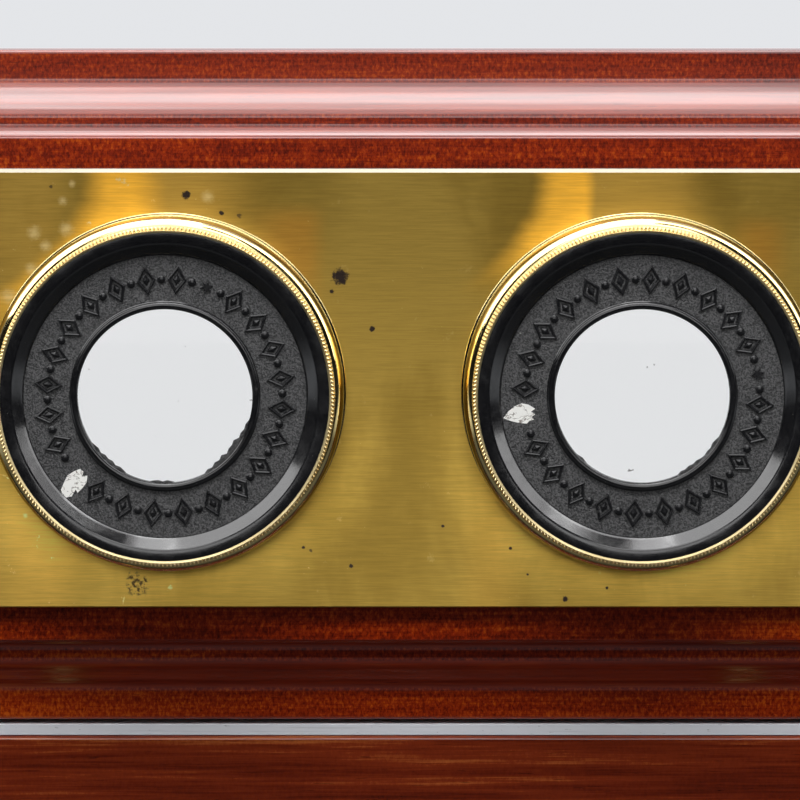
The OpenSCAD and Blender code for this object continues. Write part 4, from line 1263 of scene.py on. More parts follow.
@dataclass
class MouldedFrame:
    """The moulded frame round the lens plate: two rails and two stiles with mitred ends.

    From the outer edge in, the moulding is a lip, a wave, a narrow shelf, a hollow and a flat fillet. A
    support is a point on a flat, close to a rounding, that keeps the flat's shading flat.
    """

    finishes: Finishes
    lip_depth: float = 8.5
    lip_width: float = 4.15
    wave_rise: float = 3.23
    shelf_width: float = 0.85
    shelf_rise: float = 0.02
    hollow_width: float = 1.75
    hollow_turn: Point = (5.0, 68.0)
    fillet_width: float = 4.65
    lip_round: float = 0.45
    inset: float = 0.2
    support: float = 0.05
    arris: float = 0.16
    wave_steps: int = 30
    hollow_steps: int = 10
    mitre_spare: float = 1.0

    def section(self, moulding: float, bar: float, depth: float) -> list[Point]:
        """Works out the moulding's section.

        Args:
            moulding: Width of the moulding that shows.
            bar: Width of the whole bar.
            depth: Depth at the inner flat.

        Returns:
            Points as distance in from the outer edge and distance forward from the back.
        """
        flat = moulding - self.fillet_width
        shelf_end = flat - self.hollow_width
        shelf_start = shelf_end - self.shelf_width
        shelf_front = self.lip_depth + self.wave_rise + self.shelf_rise
        quarter = range(180, 89, -15)
        lip_start = self.inset + self.lip_round
        lip = arc((lip_start, self.lip_depth - self.lip_round), (self.lip_round,) * 2, quarter)
        lip.append((lip_start + self.support, self.lip_depth))
        wave = [(self.lip_width + (shelf_start - self.lip_width) * step / self.wave_steps,
                 self.lip_depth + self.wave_rise * (1 - math.cos(math.pi * step / self.wave_steps)) / 2)
                for step in range(self.wave_steps + 1)]
        shelf = [(shelf_start + self.support, shelf_front - self.shelf_rise),
                 (shelf_end - self.support, shelf_front)]
        start, end = self.hollow_turn
        first, last = math.radians(start), math.radians(end)
        radius = self.hollow_width / (math.sin(last) - math.sin(first))
        hollow_middle = (shelf_end - radius * math.sin(first), shelf_front + radius * math.cos(first))
        turns = [start + (end - start) * step / self.hollow_steps for step in range(self.hollow_steps + 1)]
        hollow = arc(hollow_middle, (radius, radius), [turned - 90 for turned in turns])
        edge = arc((flat + self.arris, depth - self.arris), (self.arris,) * 2, quarter)
        edge.append((flat + self.arris + self.support, depth))
        return [(self.inset, 0), *lip, *wave, *shelf, *hollow, *edge, (bar, depth), (bar, 0)]

    def bar(self, name: str, section: Sequence[Point], half_width: float, half_height: float, middle: Vector,
            back: float, side: int) -> Piece:
        """Makes one bar and cuts its mitres.

        Args:
            name: Name of the bar.
            section: The moulding's section.
            half_width: Half of the frame's width.
            half_height: Half of its height.
            middle: The frame's middle.
            back: Y of the frame's back.
            side: 0 for the top and then clockwise, seen from the front.

        Returns:
            The bar, in millimetres.
        """
        outward = [Vector((0, 0, 1)), Vector((1, 0, 0)), Vector((0, 0, -1)), Vector((-1, 0, 0))][side]
        along = [Vector((1, 0, 0)), Vector((0, 0, -1)), Vector((-1, 0, 0)), Vector((0, 0, 1))][side]
        reach, half_length = (half_height, half_width) if side % 2 == 0 else (half_width, half_height)
        corner = Vector((middle.x, back, middle.z)) + outward * reach
        start = corner - along * (half_length + self.mitre_spare)
        points = [tuple(start - outward * x + Vector((0, -y, 0))) for x, y in section]
        bar = trace(name, points, along * 2 * (half_length + self.mitre_spare))
        take(bar)
        for end in (-1, 1):
            edit()
            bpy.ops.mesh.bisect(plane_co=corner + along * half_length * end, plane_no=along * end - outward,
                                clear_outer=True, use_fill=True)
            leave_edit()
        return bar

    def build(self) -> None:
        """Makes the four bars."""
        low, high = corners("frame_top_rail")
        foot, _ = corners("frame_bottom_rail")
        plate_low, plate_high = corners("lens_plate")
        half_width = (high.x - low.x) / 2
        half_height = (high.z - foot.z) / 2
        middle = Vector((0, 0, (high.z + foot.z) / 2))
        moulding = half_width - (plate_high.x - plate_low.x) / 2
        section = self.section(moulding, high.z - low.z, high.y - low.y)
        names = ("frame_top_rail", "frame_right_stile", "frame_bottom_rail", "frame_left_stile")
        for side, node in enumerate(names):
            bar = self.bar(f"{node}_moulded", section, half_width, half_height, middle, high.y, side)
            finish = self.finishes.rail if side % 2 == 0 else self.finishes.stile
            fit(bar, finish, "viewer", "mahogany", node)


@dataclass
class LensPanel:
    """The sliding panel: brass plate, its screws, the two sockets, and the wood and racks behind."""

    finishes: Finishes
    top_bevel: float = 0.50
    arris: float = 0.16
    screw_radius: float = 1.7
    screw_inset: float = 4.2
    flange_radius: float = 25.0
    flange_height: float = 0.8
    edge_round: float = 0.13
    foot_radius: float = 24.72
    top_radius: float = 23.3
    shoulder: float = 1.9
    height: float = 7.7
    bore_radius: float = 20.48
    tube_radius: float = 21.88
    tube_back: float = -11.1
    drill_ends: Point = (-1.0, 5.0)
    slot_turns: tuple[float, ...] = (20, 75, -40, 5)
    steps: int = 192

    def socket_outline(self) -> list[Point]:
        """Works out the socket's outline: a flange, a rounded barrel and a tube behind.

        Returns:
            Points as radius and height above the plate.
        """
        barrel = arc((self.top_radius, self.height - self.shoulder),
                     (self.foot_radius - self.top_radius, self.shoulder), range(0, 91, 5))
        edge = self.edge_round
        rounded = arc((self.flange_radius - edge, self.flange_height - edge), (edge, edge), range(0, 91, 10))
        flange = [(self.flange_radius, 0), *rounded, (self.foot_radius + 0.01, self.flange_height)]
        return [(self.bore_radius, self.tube_back), (self.tube_radius, self.tube_back), (self.tube_radius, 0),
                *flange, *barrel, (self.bore_radius, self.height)]

    def plate(self, low: Vector, high: Vector, lens_x: float, lens_z: float) -> Piece:
        """Makes the plate with its bevels and bores.

        Args:
            low: Its lowest corner, in millimetres.
            high: Its highest corner.
            lens_x: X of the right lens axis.
            lens_z: Height of the lens axes.

        Returns:
            The plate.
        """
        bevel = self.top_bevel
        section = [(low.x, high.y), (low.x, low.y + bevel), (low.x + bevel, low.y),
                   (high.x - bevel, low.y), (high.x, low.y + bevel), (high.x, high.y)]
        outline = [(x, y, low.z) for x, y in section]
        plate = trace("lens_plate_brushed", outline, Vector((0, 0, high.z - low.z)))
        take(plate)
        for edge, width, way in ((high.z, self.top_bevel, 1), (low.z, self.arris, -1)):
            edit()
            bpy.ops.mesh.bisect(plane_co=(0, low.y + width, edge), plane_no=(0, -1, way), clear_outer=True,
                                use_fill=True)
            leave_edit()
        back, front = self.drill_ends
        bore = [(0, back), (self.tube_radius, back), (self.tube_radius, front), (0, front)]
        for x in (-lens_x, lens_x):
            drill = turn("drill", bore, (x, high.y, lens_z), Facing.FORWARD, self.steps)
            apply_modifier(plate, "BOOLEAN", operation="DIFFERENCE", solver="EXACT", object=drill)
            bpy.data.objects.remove(drill)
        take(plate)
        edit()
        bpy.ops.uv.cube_project(cube_size=100)
        leave_edit()
        return plate

    def screws(self, low: Vector, high: Vector) -> Piece:
        """Makes a screw near each corner of the plate.

        Args:
            low: The plate's lowest corner, in millimetres.
            high: Its highest corner.

        Returns:
            The screws, as one piece.
        """
        inset, proud = self.screw_inset, 0.02
        places = [(x, low.y - proud, z) for x in (low.x + inset, high.x - inset)
                  for z in (low.z + inset, high.z - inset)]
        heads = [screw(f"plate_screw_{number}", at, Facing.FORWARD, self.screw_radius, slot)
                 for number, (at, slot) in enumerate(zip(places, self.slot_turns))]
        return joined("plate_screws", heads)

    def build(self) -> None:
        """Makes and dresses the panel."""
        low, high = corners("lens_plate")
        socket_low, socket_high = corners("socket_right")
        lens_x, lens_z = (socket_low.x + socket_high.x) / 2, (socket_low.z + socket_high.z) / 2
        plate = self.plate(low, high, lens_x, lens_z)
        fit(plate, self.finishes.plate, "lens_panel", "stained_brass", "lens_plate")
        fit(self.screws(low, high), self.finishes.satin, "lens_panel", "plain_brass")
        outline = self.socket_outline()
        right = turn("socket_right_turned", outline, (lens_x, low.y, lens_z), Facing.FORWARD, self.steps)
        left = copy_of(right, "socket_left_turned", Matrix.Translation((-2 * lens_x, 0, 0)))
        fit(right, self.finishes.polished, "lens_panel", "polished_brass", "socket_right")
        fit(left, self.finishes.polished, "lens_panel", "polished_brass", "socket_left")
        dress(self.finishes.black_wood, "lens_board", "lens_sleeve")
        dress(self.finishes.satin, "racks", "socket_nuts")


@dataclass(frozen=True)
class Wear:
    """What differs between the two eyepieces: the turn of the star, the chip and the torn edge.

    Angles are degrees from the right, anticlockwise as the user sees it, and lengths are millimetres. Each
    torn bit is its first angle, the angle from point to point, and how far each point reaches inwards.
    """

    star_angle: float
    chip_place: Point
    chip_outline: tuple[Point, ...]
    torn_bits: tuple[tuple[float, float, tuple[float, ...]], ...]

    @property
    def chip_angle(self) -> float:
        """The direction of the chip from the lens axis."""
        return math.degrees(math.atan2(self.chip_place[1], self.chip_place[0]))


WEAR = {
    "left": Wear(
        star_angle=69.0,
        chip_place=(-12.6, -12.1),
        chip_outline=((-1.86, -0.88), (-1.40, 0.18), (-0.95, 1.12), (0.0, 1.72), (0.81, 2.04), (1.30, 1.65),
                      (1.09, 1.02), (1.86, 1.12), (1.72, 0.18), (1.16, -0.60), (0.46, -1.30), (0.21, -0.81),
                      (-0.35, -1.79), (-1.16, -1.96), (-1.65, -1.44)),
        torn_bits=(
            (-64.0, 3.4, (0.0, 0.35, 0.25, 0.62, 0.48, 0.80, 0.42, 0.72, 0.66, 0.86, 0.40, 0.52, 0.30, 0.36,
                          0.1, 0.0)),
            (-101.0, 3.0, (0.0, 0.22, 0.34, 0.18, 0.36, 0.20, 0.0)),
            (-148.0, 3.2, (0.0, 0.2, 0.34, 0.16, 0.42, 0.30, 0.46, 0.22, 0.40, 0.24, 0.0))),
    ),
    "right": Wear(
        star_angle=11.0,
        chip_place=(-17.0, -2.4),
        chip_outline=((-2.21, -0.60), (-1.50, 0.35), (-0.63, 1.05), (0.32, 1.44), (1.30, 1.26), (2.18, 0.70),
                      (1.61, 0.28), (2.18, -0.07), (1.75, -0.42), (2.04, -0.84), (1.40, -0.98), (1.05, -1.37),
                      (-0.10, -1.26), (-1.26, -0.98)),
        torn_bits=(
            (-66.0, 3.2, (0.0, 0.30, 0.22, 0.40, 0.24, 0.36, 0.16, 0.10, 0.24, 0.14, 0.34, 0.20, 0.0)),
            (-139.0, 2.8, (0.0, 0.12, 0.26, 0.14, 0.0))),
    ),
}


@dataclass
class Eyepiece:
    """One screwed eyepiece: milled ring, black cell with its ornament, doublet and retainer.

    Levels are heights above the plate's front. A point of the slope's shape is its share of the slope's
    width, outwards from the ground, and its share of the slope's fall.
    """

    finishes: Finishes
    side: str
    teeth: int = 270
    milled_radius: float = 23.55
    cell_radius: float = 22.72
    ring_back: float = 7.9
    ring_front: float = 10.4
    mill_bead: Point = (0.22, 0.26)
    mill_width: float = 0.44
    mill_depth: float = 0.012
    mill_sink: float = 0.16
    lip_fall: float = 0.07
    rim_drop: float = 0.2
    ground_radius: float = 19.62
    ground_depth: float = 1.7
    slope_width: float = 1.5
    rim_dip: float = 0.15
    bead_width: float = 1.0
    bead_height: float = 0.6
    opening_radius: float = 12.1
    stop_depth: float = 1.5
    lens_radius: float = 18.8
    lens_wall: float = 19.0
    tube_radius: float = 20.4
    tube_back: float = -7.6
    slope_shape: tuple[Point, ...] = (
        (1.45, -0.07), (1.2, -0.05), (1.08, -0.02), (1.0, 0.03), (0.95, 0.07), (0.75, 0.23), (0.5, 0.43),
        (0.25, 0.63), (0.06, 0.782), (0.03, 0.82), (0.01, 0.95))
    crown_radii: tuple[float, float] = (95.0, 90.0)
    crown_edge: float = 1.6
    flint_edge: float = 4.2
    lens_gap: float = 0.05
    lens_rings: int = 16
    lens_steps: int = 96
    motif_count: int = 24
    motif_radius: float = 16.25
    star_radii: Point = (0.92, 0.36)
    star_rise: float = 0.3
    lozenge_rim: tuple[Point, ...] = ((0.62, 0), (1.0, 0), (0.97, 0.28), (0.84, 0.36), (0.70, 0.28))
    lozenge_heart: tuple[Point, ...] = ((0, 0), (0.40, 0), (0.30, 0.2), (0, 0.38))
    lozenge_stretch: Place = (2.05, 1, 1.35)
    lozenge_clear: float = 0.62
    pearl: tuple[Point, ...] = ((0, 0), (0.6, 0), (0.55, 0.2), (0.36, 0.34), (0, 0.4))
    pearl_clear: float = 0.4
    flake_rise: float = 0.06
    torn_lap: Point = (0.05, 0.4)
    torn_rise: float = 0.22
    steps: int = 192

    @property
    def worn(self) -> Wear:
        """The wear of this eyepiece."""
        return WEAR[self.side]

    @property
    def body(self) -> str:
        """The body that the eyepiece's pieces ride on."""
        return f"eyepiece_{self.side}"

    @property
    def rim_level(self) -> float:
        """The level of the cell's rim."""
        return self.ring_front - self.rim_drop

    @property
    def ground_level(self) -> float:
        """The level of the sunk ground."""
        return self.rim_level - self.ground_depth

    @property
    def stop_level(self) -> float:
        """The level of the stop in front of the lens."""
        return self.ground_level - self.stop_depth

    def ring_outline(self) -> list[Point]:
        """Works out the milled ring's outline: a milled bead, and inside it a smooth lip that falls inwards.

        Returns:
            Points as radius and height above the plate.
        """
        back, front, edge, inner = self.ring_back, self.ring_front, self.milled_radius, self.cell_radius
        bead = arc((edge - self.mill_bead[0], front - 0.32), self.mill_bead, (0, 35, 70, 105, 140, 170))
        lip = [(edge - 0.45, front - 0.24), (edge - 0.47, front - 0.05), (edge - 0.50, front),
               (edge - 0.53, front), (inner + 0.05, front - self.lip_fall),
               (inner + 0.02, front - self.lip_fall - 0.05)]
        return [(inner + 0.02, back), (edge - 0.15, back), (edge, back + 0.15), *bead, *lip]

    def cell_outline(self) -> list[Point]:
        """Works out the black cell's outline: rim, slope, ground, bead, stop and tube.

        Returns:
            Points as radius and height above the plate.
        """
        rim, ground, inner = self.cell_radius, self.ground_radius, self.opening_radius
        top, level, stop = self.rim_level, self.ground_level, self.stop_level
        wide, half_height = self.bead_width, self.bead_height / 2
        fall = self.ground_depth - self.rim_dip
        face = [(ground + self.slope_width * out, top - self.rim_dip - fall * down)
                for out, down in self.slope_shape]
        bead = arc((inner + wide / 2, level + half_height), (wide / 2, half_height), range(0, 181, 15))
        return [(self.tube_radius, self.tube_back), (self.tube_radius, self.ring_back), (rim, self.ring_back),
                (rim, top - 0.02), (rim - 0.3, top), (rim - 0.7, top - 0.02), *face,
                (ground - 0.05, level), (inner + wide + 0.12, level), (inner + wide + 0.03, level + 0.06),
                *bead, (inner, stop), (self.lens_wall, stop), (self.lens_wall, self.tube_back)]

    def around(self, piece: Piece, name: str, angle: float) -> Piece:
        """Copies a motif from the right of the lens axis to another place round it.

        Args:
            piece: The motif, to the right of the origin.
            name: Name of the copy.
            angle: Degrees from the right, anticlockwise as the user sees it.

        Returns:
            The copy.
        """
        return copy_of(piece, name, Matrix.Rotation(math.radians(-angle), 4, "Y"))

    def off_chip(self, angle: float) -> float:
        """Returns how far a direction is from the chip's, in degrees."""
        return abs((angle - self.worn.chip_angle + 180) % 360 - 180)

    def star(self) -> Piece:
        """Makes a small star of six points at the ornament's radius.

        Returns:
            The star.
        """
        points = []
        for number in range(12):
            reach = self.star_radii[number % 2]
            turned = math.radians(30 * number)
            points.append((self.motif_radius + reach * math.cos(turned), 0.0, reach * math.sin(turned)))
        return trace("star", points, Vector((0, -self.star_rise, 0)))

    def ornament(self, at: Place) -> Piece:
        """Makes the ground's ornament: lozenges with a bead between each two, and one star.

        Args:
            at: The lens axis on the ground.

        Returns:
            The ornament.
        """
        rim = turn("lozenge", self.lozenge_rim, (0, 0, 0), Facing.FORWARD, steps=4)
        heart = turn("heart", self.lozenge_heart, (0, 0, 0), Facing.FORWARD, steps=4)
        lozenge = joined("lozenge", [rim, heart])
        lozenge.scale = self.lozenge_stretch
        lozenge.location = (self.motif_radius, 0, 0)
        apply_place(lozenge)
        bead = turn("bead", self.pearl, (self.motif_radius, 0, 0), Facing.FORWARD, steps=12)
        star = self.star()
        step = 360 / self.motif_count
        pieces = [self.around(star, "star", self.worn.star_angle)]
        for number in range(self.motif_count):
            angle = self.worn.star_angle + number * step
            between = angle + step / 2
            if number and self.off_chip(angle) >= self.lozenge_clear * step:
                pieces.append(self.around(lozenge, f"lozenge_{number}", angle))
            if self.off_chip(between) > self.pearl_clear * step:
                pieces.append(self.around(bead, f"bead_{number}", between))
        for pattern in (lozenge, bead, star):
            bpy.data.objects.remove(pattern)
        whole = joined(f"ornament_{self.side}", pieces)
        whole.location = at
        apply_place(whole)
        return whole

    def flake(self, at: Place) -> Piece:
        """Makes the pale flake where the ground's black is chipped off.

        Args:
            at: The lens axis on the ground.

        Returns:
            The flake.
        """
        x, z = self.worn.chip_place
        outline = [(at[0] + x + px, at[1], at[2] + z + pz) for px, pz in self.worn.chip_outline]
        return trace(f"flake_{self.side}", outline, Vector((0, -self.flake_rise, 0)))

    def torn_edge(self, at: Place) -> Piece:
        """Makes the torn bits of blacking that reach into the eye opening.

        Args:
            at: The lens axis at the stop.

        Returns:
            The bits, as one piece.
        """
        bits = []
        near, far = [self.opening_radius + lap for lap in self.torn_lap]
        for number, (start, step, depths) in enumerate(self.worn.torn_bits):
            inner = [(near - depth, start + step * point) for point, depth in enumerate(depths)]
            outer = [(far, angle) for _, angle in reversed(inner)]
            flat = [arc((at[0], at[2]), (radius, radius), [angle])[0] for radius, angle in [*inner, *outer]]
            outline = [(x, at[1], z) for x, z in flat]
            bits.append(trace(f"torn_bit_{number}", outline, Vector((0, -self.torn_rise, 0))))
        return joined(f"torn_edge_{self.side}", bits)

    @staticmethod
    def sag(sphere: float, rim: float) -> float:
        """Returns the depth of a spherical cap of that sphere and rim radius."""
        return sphere - math.sqrt(sphere ** 2 - rim ** 2)

    def lenses(self, at: Place) -> Piece:
        """Makes the doublet: a biconvex crown lens and a flint lens behind it.

        Args:
            at: The lens axis on the plate's front.

        Returns:
            Both lenses as one piece.
        """
        front, behind = self.crown_radii
        rim, gap = self.lens_radius, self.lens_gap
        front_edge = self.stop_level - gap - self.sag(front, rim) + self.sag(front, self.opening_radius)
        back_edge = front_edge - self.crown_edge
        radii = [rim * ring / self.lens_rings for ring in range(self.lens_rings + 1)]
        face = [(radius, front_edge + self.sag(front, rim) - self.sag(front, radius))
                for radius in reversed(radii)]
        back = [(radius, back_edge - self.sag(behind, rim) + self.sag(behind, radius)) for radius in radii]
        seat = [(radius, height - gap) for radius, height in reversed(back)]
        flint_back = back_edge - self.flint_edge
        crown = turn("crown", [*back, *face], at, Facing.FORWARD, self.lens_steps)
        flint_outline = [(0, flint_back), (rim, flint_back), *seat]
        flint = turn("flint", flint_outline, at, Facing.FORWARD, self.lens_steps)
        return joined(f"doublet_{self.side}_ground", [crown, flint])

    def build(self) -> None:
        """Makes and dresses the eyepiece."""
        low, high = corners(f"eye_cell_{self.side}")
        x, z = (low.x + high.x) / 2, (low.z + high.z) / 2
        front = corners("lens_plate")[0].y
        at = (x, front, z)
        outline = self.ring_outline()
        ring = turn(f"milled_ring_{self.side}_turned", outline, at, Facing.FORWARD, 2 * self.teeth)
        inside, behind = self.milled_radius - self.mill_width, front - self.ring_back - 0.5
        mill(ring, self.teeth, self.mill_depth, at, Axis.Y,
             lambda radius, y: radius > inside and y < behind, self.mill_sink)
        fit(ring, self.finishes.milled, self.body, "polished_brass", f"milled_ring_{self.side}")
        cell = turn(f"eye_cell_{self.side}_moulded", self.cell_outline(), at, Facing.FORWARD, self.steps)
        cell.data.materials.append(self.finishes.gloss)
        cell.data.materials.append(self.finishes.ground)
        take(cell)
        edit()
        level = front - self.ground_level
        flat, near = 0.98, 0.02
        pick_faces(cell, lambda centre, normal: normal.y < -flat and abs(centre.y - level) < near)
        cell.active_material_index = 1
        bpy.ops.object.material_slot_assign()
        leave_edit()
        fit(cell, None, self.body, "ebonite", f"eye_cell_{self.side}")
        fit(self.ornament((x, level, z)), self.finishes.relief, self.body, "ebonite")
        fit(self.flake((x, level, z)), self.finishes.flaked, self.body, "ebonite")
        fit(self.torn_edge((x, front - self.stop_level, z)), self.finishes.ground, self.body, "ebonite")
        fit(self.lenses(at), self.finishes.lens, self.body, "lens_glass", f"doublet_{self.side}")
        dress(self.finishes.satin, f"lens_retainer_{self.side}")


@dataclass
class Knob:
    """A knurled brass knob, turned from a bar."""

    radius: float
    teeth: int
    knurl_depth: float = 0.035

    def head(self, start: float, end: float) -> list[Point]:
        """Returns the outline of a knurled head with a turned face.

        Args:
            start: Where the knurled edge starts along the axis.
            end: The face of the knob.

        Returns:
            The outline, from the knurled edge's start to the axis.
        """
        edge = self.radius
        return [(edge - 0.5, start), (edge, start + 0.5), (edge, end - 1.4), (edge - 0.35, end - 0.95),
                (edge - 0.9, end - 0.75), (edge - 1.3, end - 0.3), (edge - 1.9, end - 0.05),
                (edge - 2.6, end), (edge - 3.0, end - 0.25), (edge - 3.3, end - 0.25), (edge - 3.7, end),
                (1.6, end), (0, end)]

    def make(self, name: str, outline: Sequence[Point], at: Place, start: float, end: float) -> Piece:
        """Turns and mills a knob that points right.

        Args:
            name: Name of the knob.
            outline: Its outline along +X.
            at: A point on its axis.
            start: X where the knurled edge starts.
            end: X of its face.

        Returns:
            The knob.
        """
        knob = turn(name, outline, at, Facing.RIGHT, 2 * self.teeth)
        outer = self.radius - 0.1
        mill(knob, self.teeth, self.knurl_depth, at, Axis.X,
             lambda radius, x: radius > outer and start + 0.2 < x < end - 1.2)
        return knob


@dataclass
class Focusing:
    """The focusing shaft with its pinions and knobs."""

    finishes: Finishes
    knob_radius: float = 9.0
    knob_length: float = 8.0
    knob_teeth: int = 48
    hub_radius: float = 4.2
    hub_length: float = 1.5

    def build(self) -> None:
        """Makes the knobs and dresses the shaft and pinions."""
        low, high = corners("focus_knobs")
        y, z = (low.y + high.y) / 2, (low.z + high.z) / 2
        face, start = high.x, high.x - self.knob_length
        hub_end = start + self.hub_length
        knob = Knob(self.knob_radius, self.knob_teeth)
        hub = [(self.hub_radius, start), (self.hub_radius, hub_end)]
        outline = [(0, start), *hub, *knob.head(hub_end, face)]
        right = knob.make("focus_knob_right", outline, (0, y, z), hub_end, face)
        left = copy_of(right, "focus_knob_left", FLIP_X)
        both = joined("focus_knobs_turned", [right, left])
        fit(both, self.finishes.polished, "focusing", "polished_brass", "focus_knobs")
        dress(self.finishes.steel, "focus_shaft")
        dress(self.finishes.satin, "pinions")


@dataclass
class TiltGear:
    """The slotted quadrants, their screws, the clamp screws and the tilt hinges."""

    finishes: Finishes
    clamp_radius: float = 8.0
    clamp_length: float = 8.0
    clamp_teeth: int = 40
    collar_radius: float = 4.5
    collar_length: float = 2.0
    stem_radius: float = 2.0
    quadrant_rounding: float = 0.25
    screw_rounding: float = 0.12

    def build(self) -> None:
        """Makes the clamps and quadrants and dresses the hinges."""
        low, high = corners("clamp_screw_right")
        y, z = (low.y + high.y) / 2, (low.z + high.z) / 2
        face, start = high.x, high.x - self.clamp_length
        collar_end = start + self.collar_length
        knob = Knob(self.clamp_radius, self.clamp_teeth)
        stem = [(self.stem_radius, low.x), (self.stem_radius, start)]
        collar = [(self.collar_radius, start), (self.collar_radius, collar_end)]
        outline = [(0, low.x), *stem, *collar, *knob.head(collar_end, face)]
        right = knob.make("clamp_screw_right_turned", outline, (0, y, z), collar_end, face)
        left = copy_of(right, "clamp_screw_left_turned", FLIP_X)
        fit(right, self.finishes.polished, "clamp_right", "polished_brass", "clamp_screw_right")
        fit(left, self.finishes.polished, "clamp_left", "polished_brass", "clamp_screw_left")
        for node in ("quadrant_left", "quadrant_right"):
            quadrant = soften(node, self.quadrant_rounding)
            fit(quadrant, self.finishes.polished, "cabinet", "polished_brass", node)
        screws = soften("quadrant_screws", self.screw_rounding)
        fit(screws, self.finishes.satin, "cabinet", "plain_brass", "quadrant_screws")
        dress(self.finishes.satin, "tilt_hinge_lower", "tilt_hinge_upper", "tilt_hinge_pins", "side_bushes")


@dataclass
class ViewerBody:
    """The viewer's boards, card frame and rails, and its black inner pieces."""

    finishes: Finishes
    rounding: float = 0.45

    def build(self) -> None:
        """Makes and dresses the body."""
        for node, finish in (("body_sides", self.finishes.side), ("body_top_strips", self.finishes.top),
                             ("card_frame", self.finishes.top), ("card_rails", self.finishes.top)):
            fit(soften(node, self.rounding), finish, "viewer", "mahogany", node)
        dress(self.finishes.black_wood, "body_floor", "sleeve_guides", "septum", "flap_ledges")
        dress(self.finishes.satin, "small_hinge_pins")


@dataclass
class HingedPart:
    """What the flap and the rear door share: screwed hinge leaves on the viewer's top."""

    finishes: Finishes
    hinge_x: float
    screw_radius: float = 1.05
    screw_spread: float = 5.6
    screw_offset: float = 5.2
    slot_step: float = 37.0
    leaf_thickness: float = 1.2
    leaf_rounding: float = 0.15
    barrel_radius: float = 1.6

    def leaves(self, part: str, body: str) -> None:
        """Makes the fixed leaves, on the viewer, and the moving leaves.

        Args:
            part: First word of the leaves' names.
            body: The body that the moving leaves ride on.
        """
        for node, carrier in ((f"{part}_hinge_fixed", "viewer"), (f"{part}_hinge_moving", body)):
            fit(soften(node, self.leaf_rounding), self.finishes.satin, carrier, "plain_brass", node)

    def leaf_screws(self, name: str, y: float, under: float, body: str) -> None:
        """Makes two screws on each leaf.

        Args:
            name: Name of the group.
            y: Y of the screws.
            under: Height of the wood under the leaves.
            body: The body that they ride on.
        """
        face = under + self.leaf_thickness
        places = [x + side * self.screw_spread for x in (-self.hinge_x, self.hinge_x) for side in (-1, 1)]
        turns = [self.slot_step * number for number in range(len(places))]
        heads = [screw(f"{name}_{number}", (x, y, face), Facing.UP, self.screw_radius, turns[number])
                 for number, x in enumerate(places)]
        fit(joined(name, heads), self.finishes.satin, body, "plain_brass")


@dataclass
class ReflectorFlap(HingedPart):
    """The flap in the viewer's top, with its mirror and hinges."""

    hinge_x: float = 50.0
    board_rounding: float = 0.5
    mirror_rounding: float = 0.3

    def build(self) -> None:
        """Makes and dresses the flap."""
        flap = soften("flap_board", self.board_rounding)
        fit(flap, self.finishes.top, "flap", "mahogany", "flap_board")
        mirror = soften("flap_mirror", self.mirror_rounding)
        fit(mirror, self.finishes.mirror, "flap", "mirror", "flap_mirror")
        self.leaves("flap", "flap")
        axis = corners("flap_hinge_moving")[0].y + self.barrel_radius
        top = corners("flap_board")[1].z
        self.leaf_screws("flap_screws_moving", axis + self.screw_offset, top, "flap")
        self.leaf_screws("flap_screws_fixed", axis - self.screw_offset, top, "viewer")


@dataclass
class RearDoor(HingedPart):
    """The rear door with its ground glass, knob, springs and hinges."""

    hinge_x: float = 78.0
    moving_offset: float = 3.6
    frame_rounding: float = 0.45
    bulb_radii: Point = (2.8, 1.8)
    bulb_middle: float = 4.0
    knob_steps: int = 48

    def build(self) -> None:
        """Makes and dresses the door."""
        door = soften("door_frame", self.frame_rounding)
        fit(door, self.finishes.top, "rear_door", "mahogany", "door_frame")
        self.leaves("door", "rear_door")
        low, high = corners("door_knob")
        bulb = arc((0, self.bulb_middle), self.bulb_radii, range(-60, 90, 15))
        neck = [(2.4, 0), (2.4, 0.4), (2.1, 0.7), (1.4, 1.1), (1.2, 1.6), (1.2, 2.3)]
        outline = [(0, 0), *neck, *bulb, (0, self.bulb_middle + self.bulb_radii[1])]
        at = ((low.x + high.x) / 2, low.y, (low.z + high.z) / 2)
        knob = turn("door_knob_turned", outline, at, Facing.BACKWARD, self.knob_steps)
        fit(knob, self.finishes.polished, "rear_door", "polished_brass", "door_knob")
        dress(self.finishes.ground_glass, "ground_glass")
        dress(self.finishes.satin, "card_springs")
        axis = corners("door_hinge_moving")[0].y + self.barrel_radius
        top = corners("door_frame")[1].z
        self.leaf_screws("door_screws_fixed", axis - self.screw_offset, top, "viewer")
        self.leaf_screws("door_screws_moving", axis + self.moving_offset, top, "rear_door")


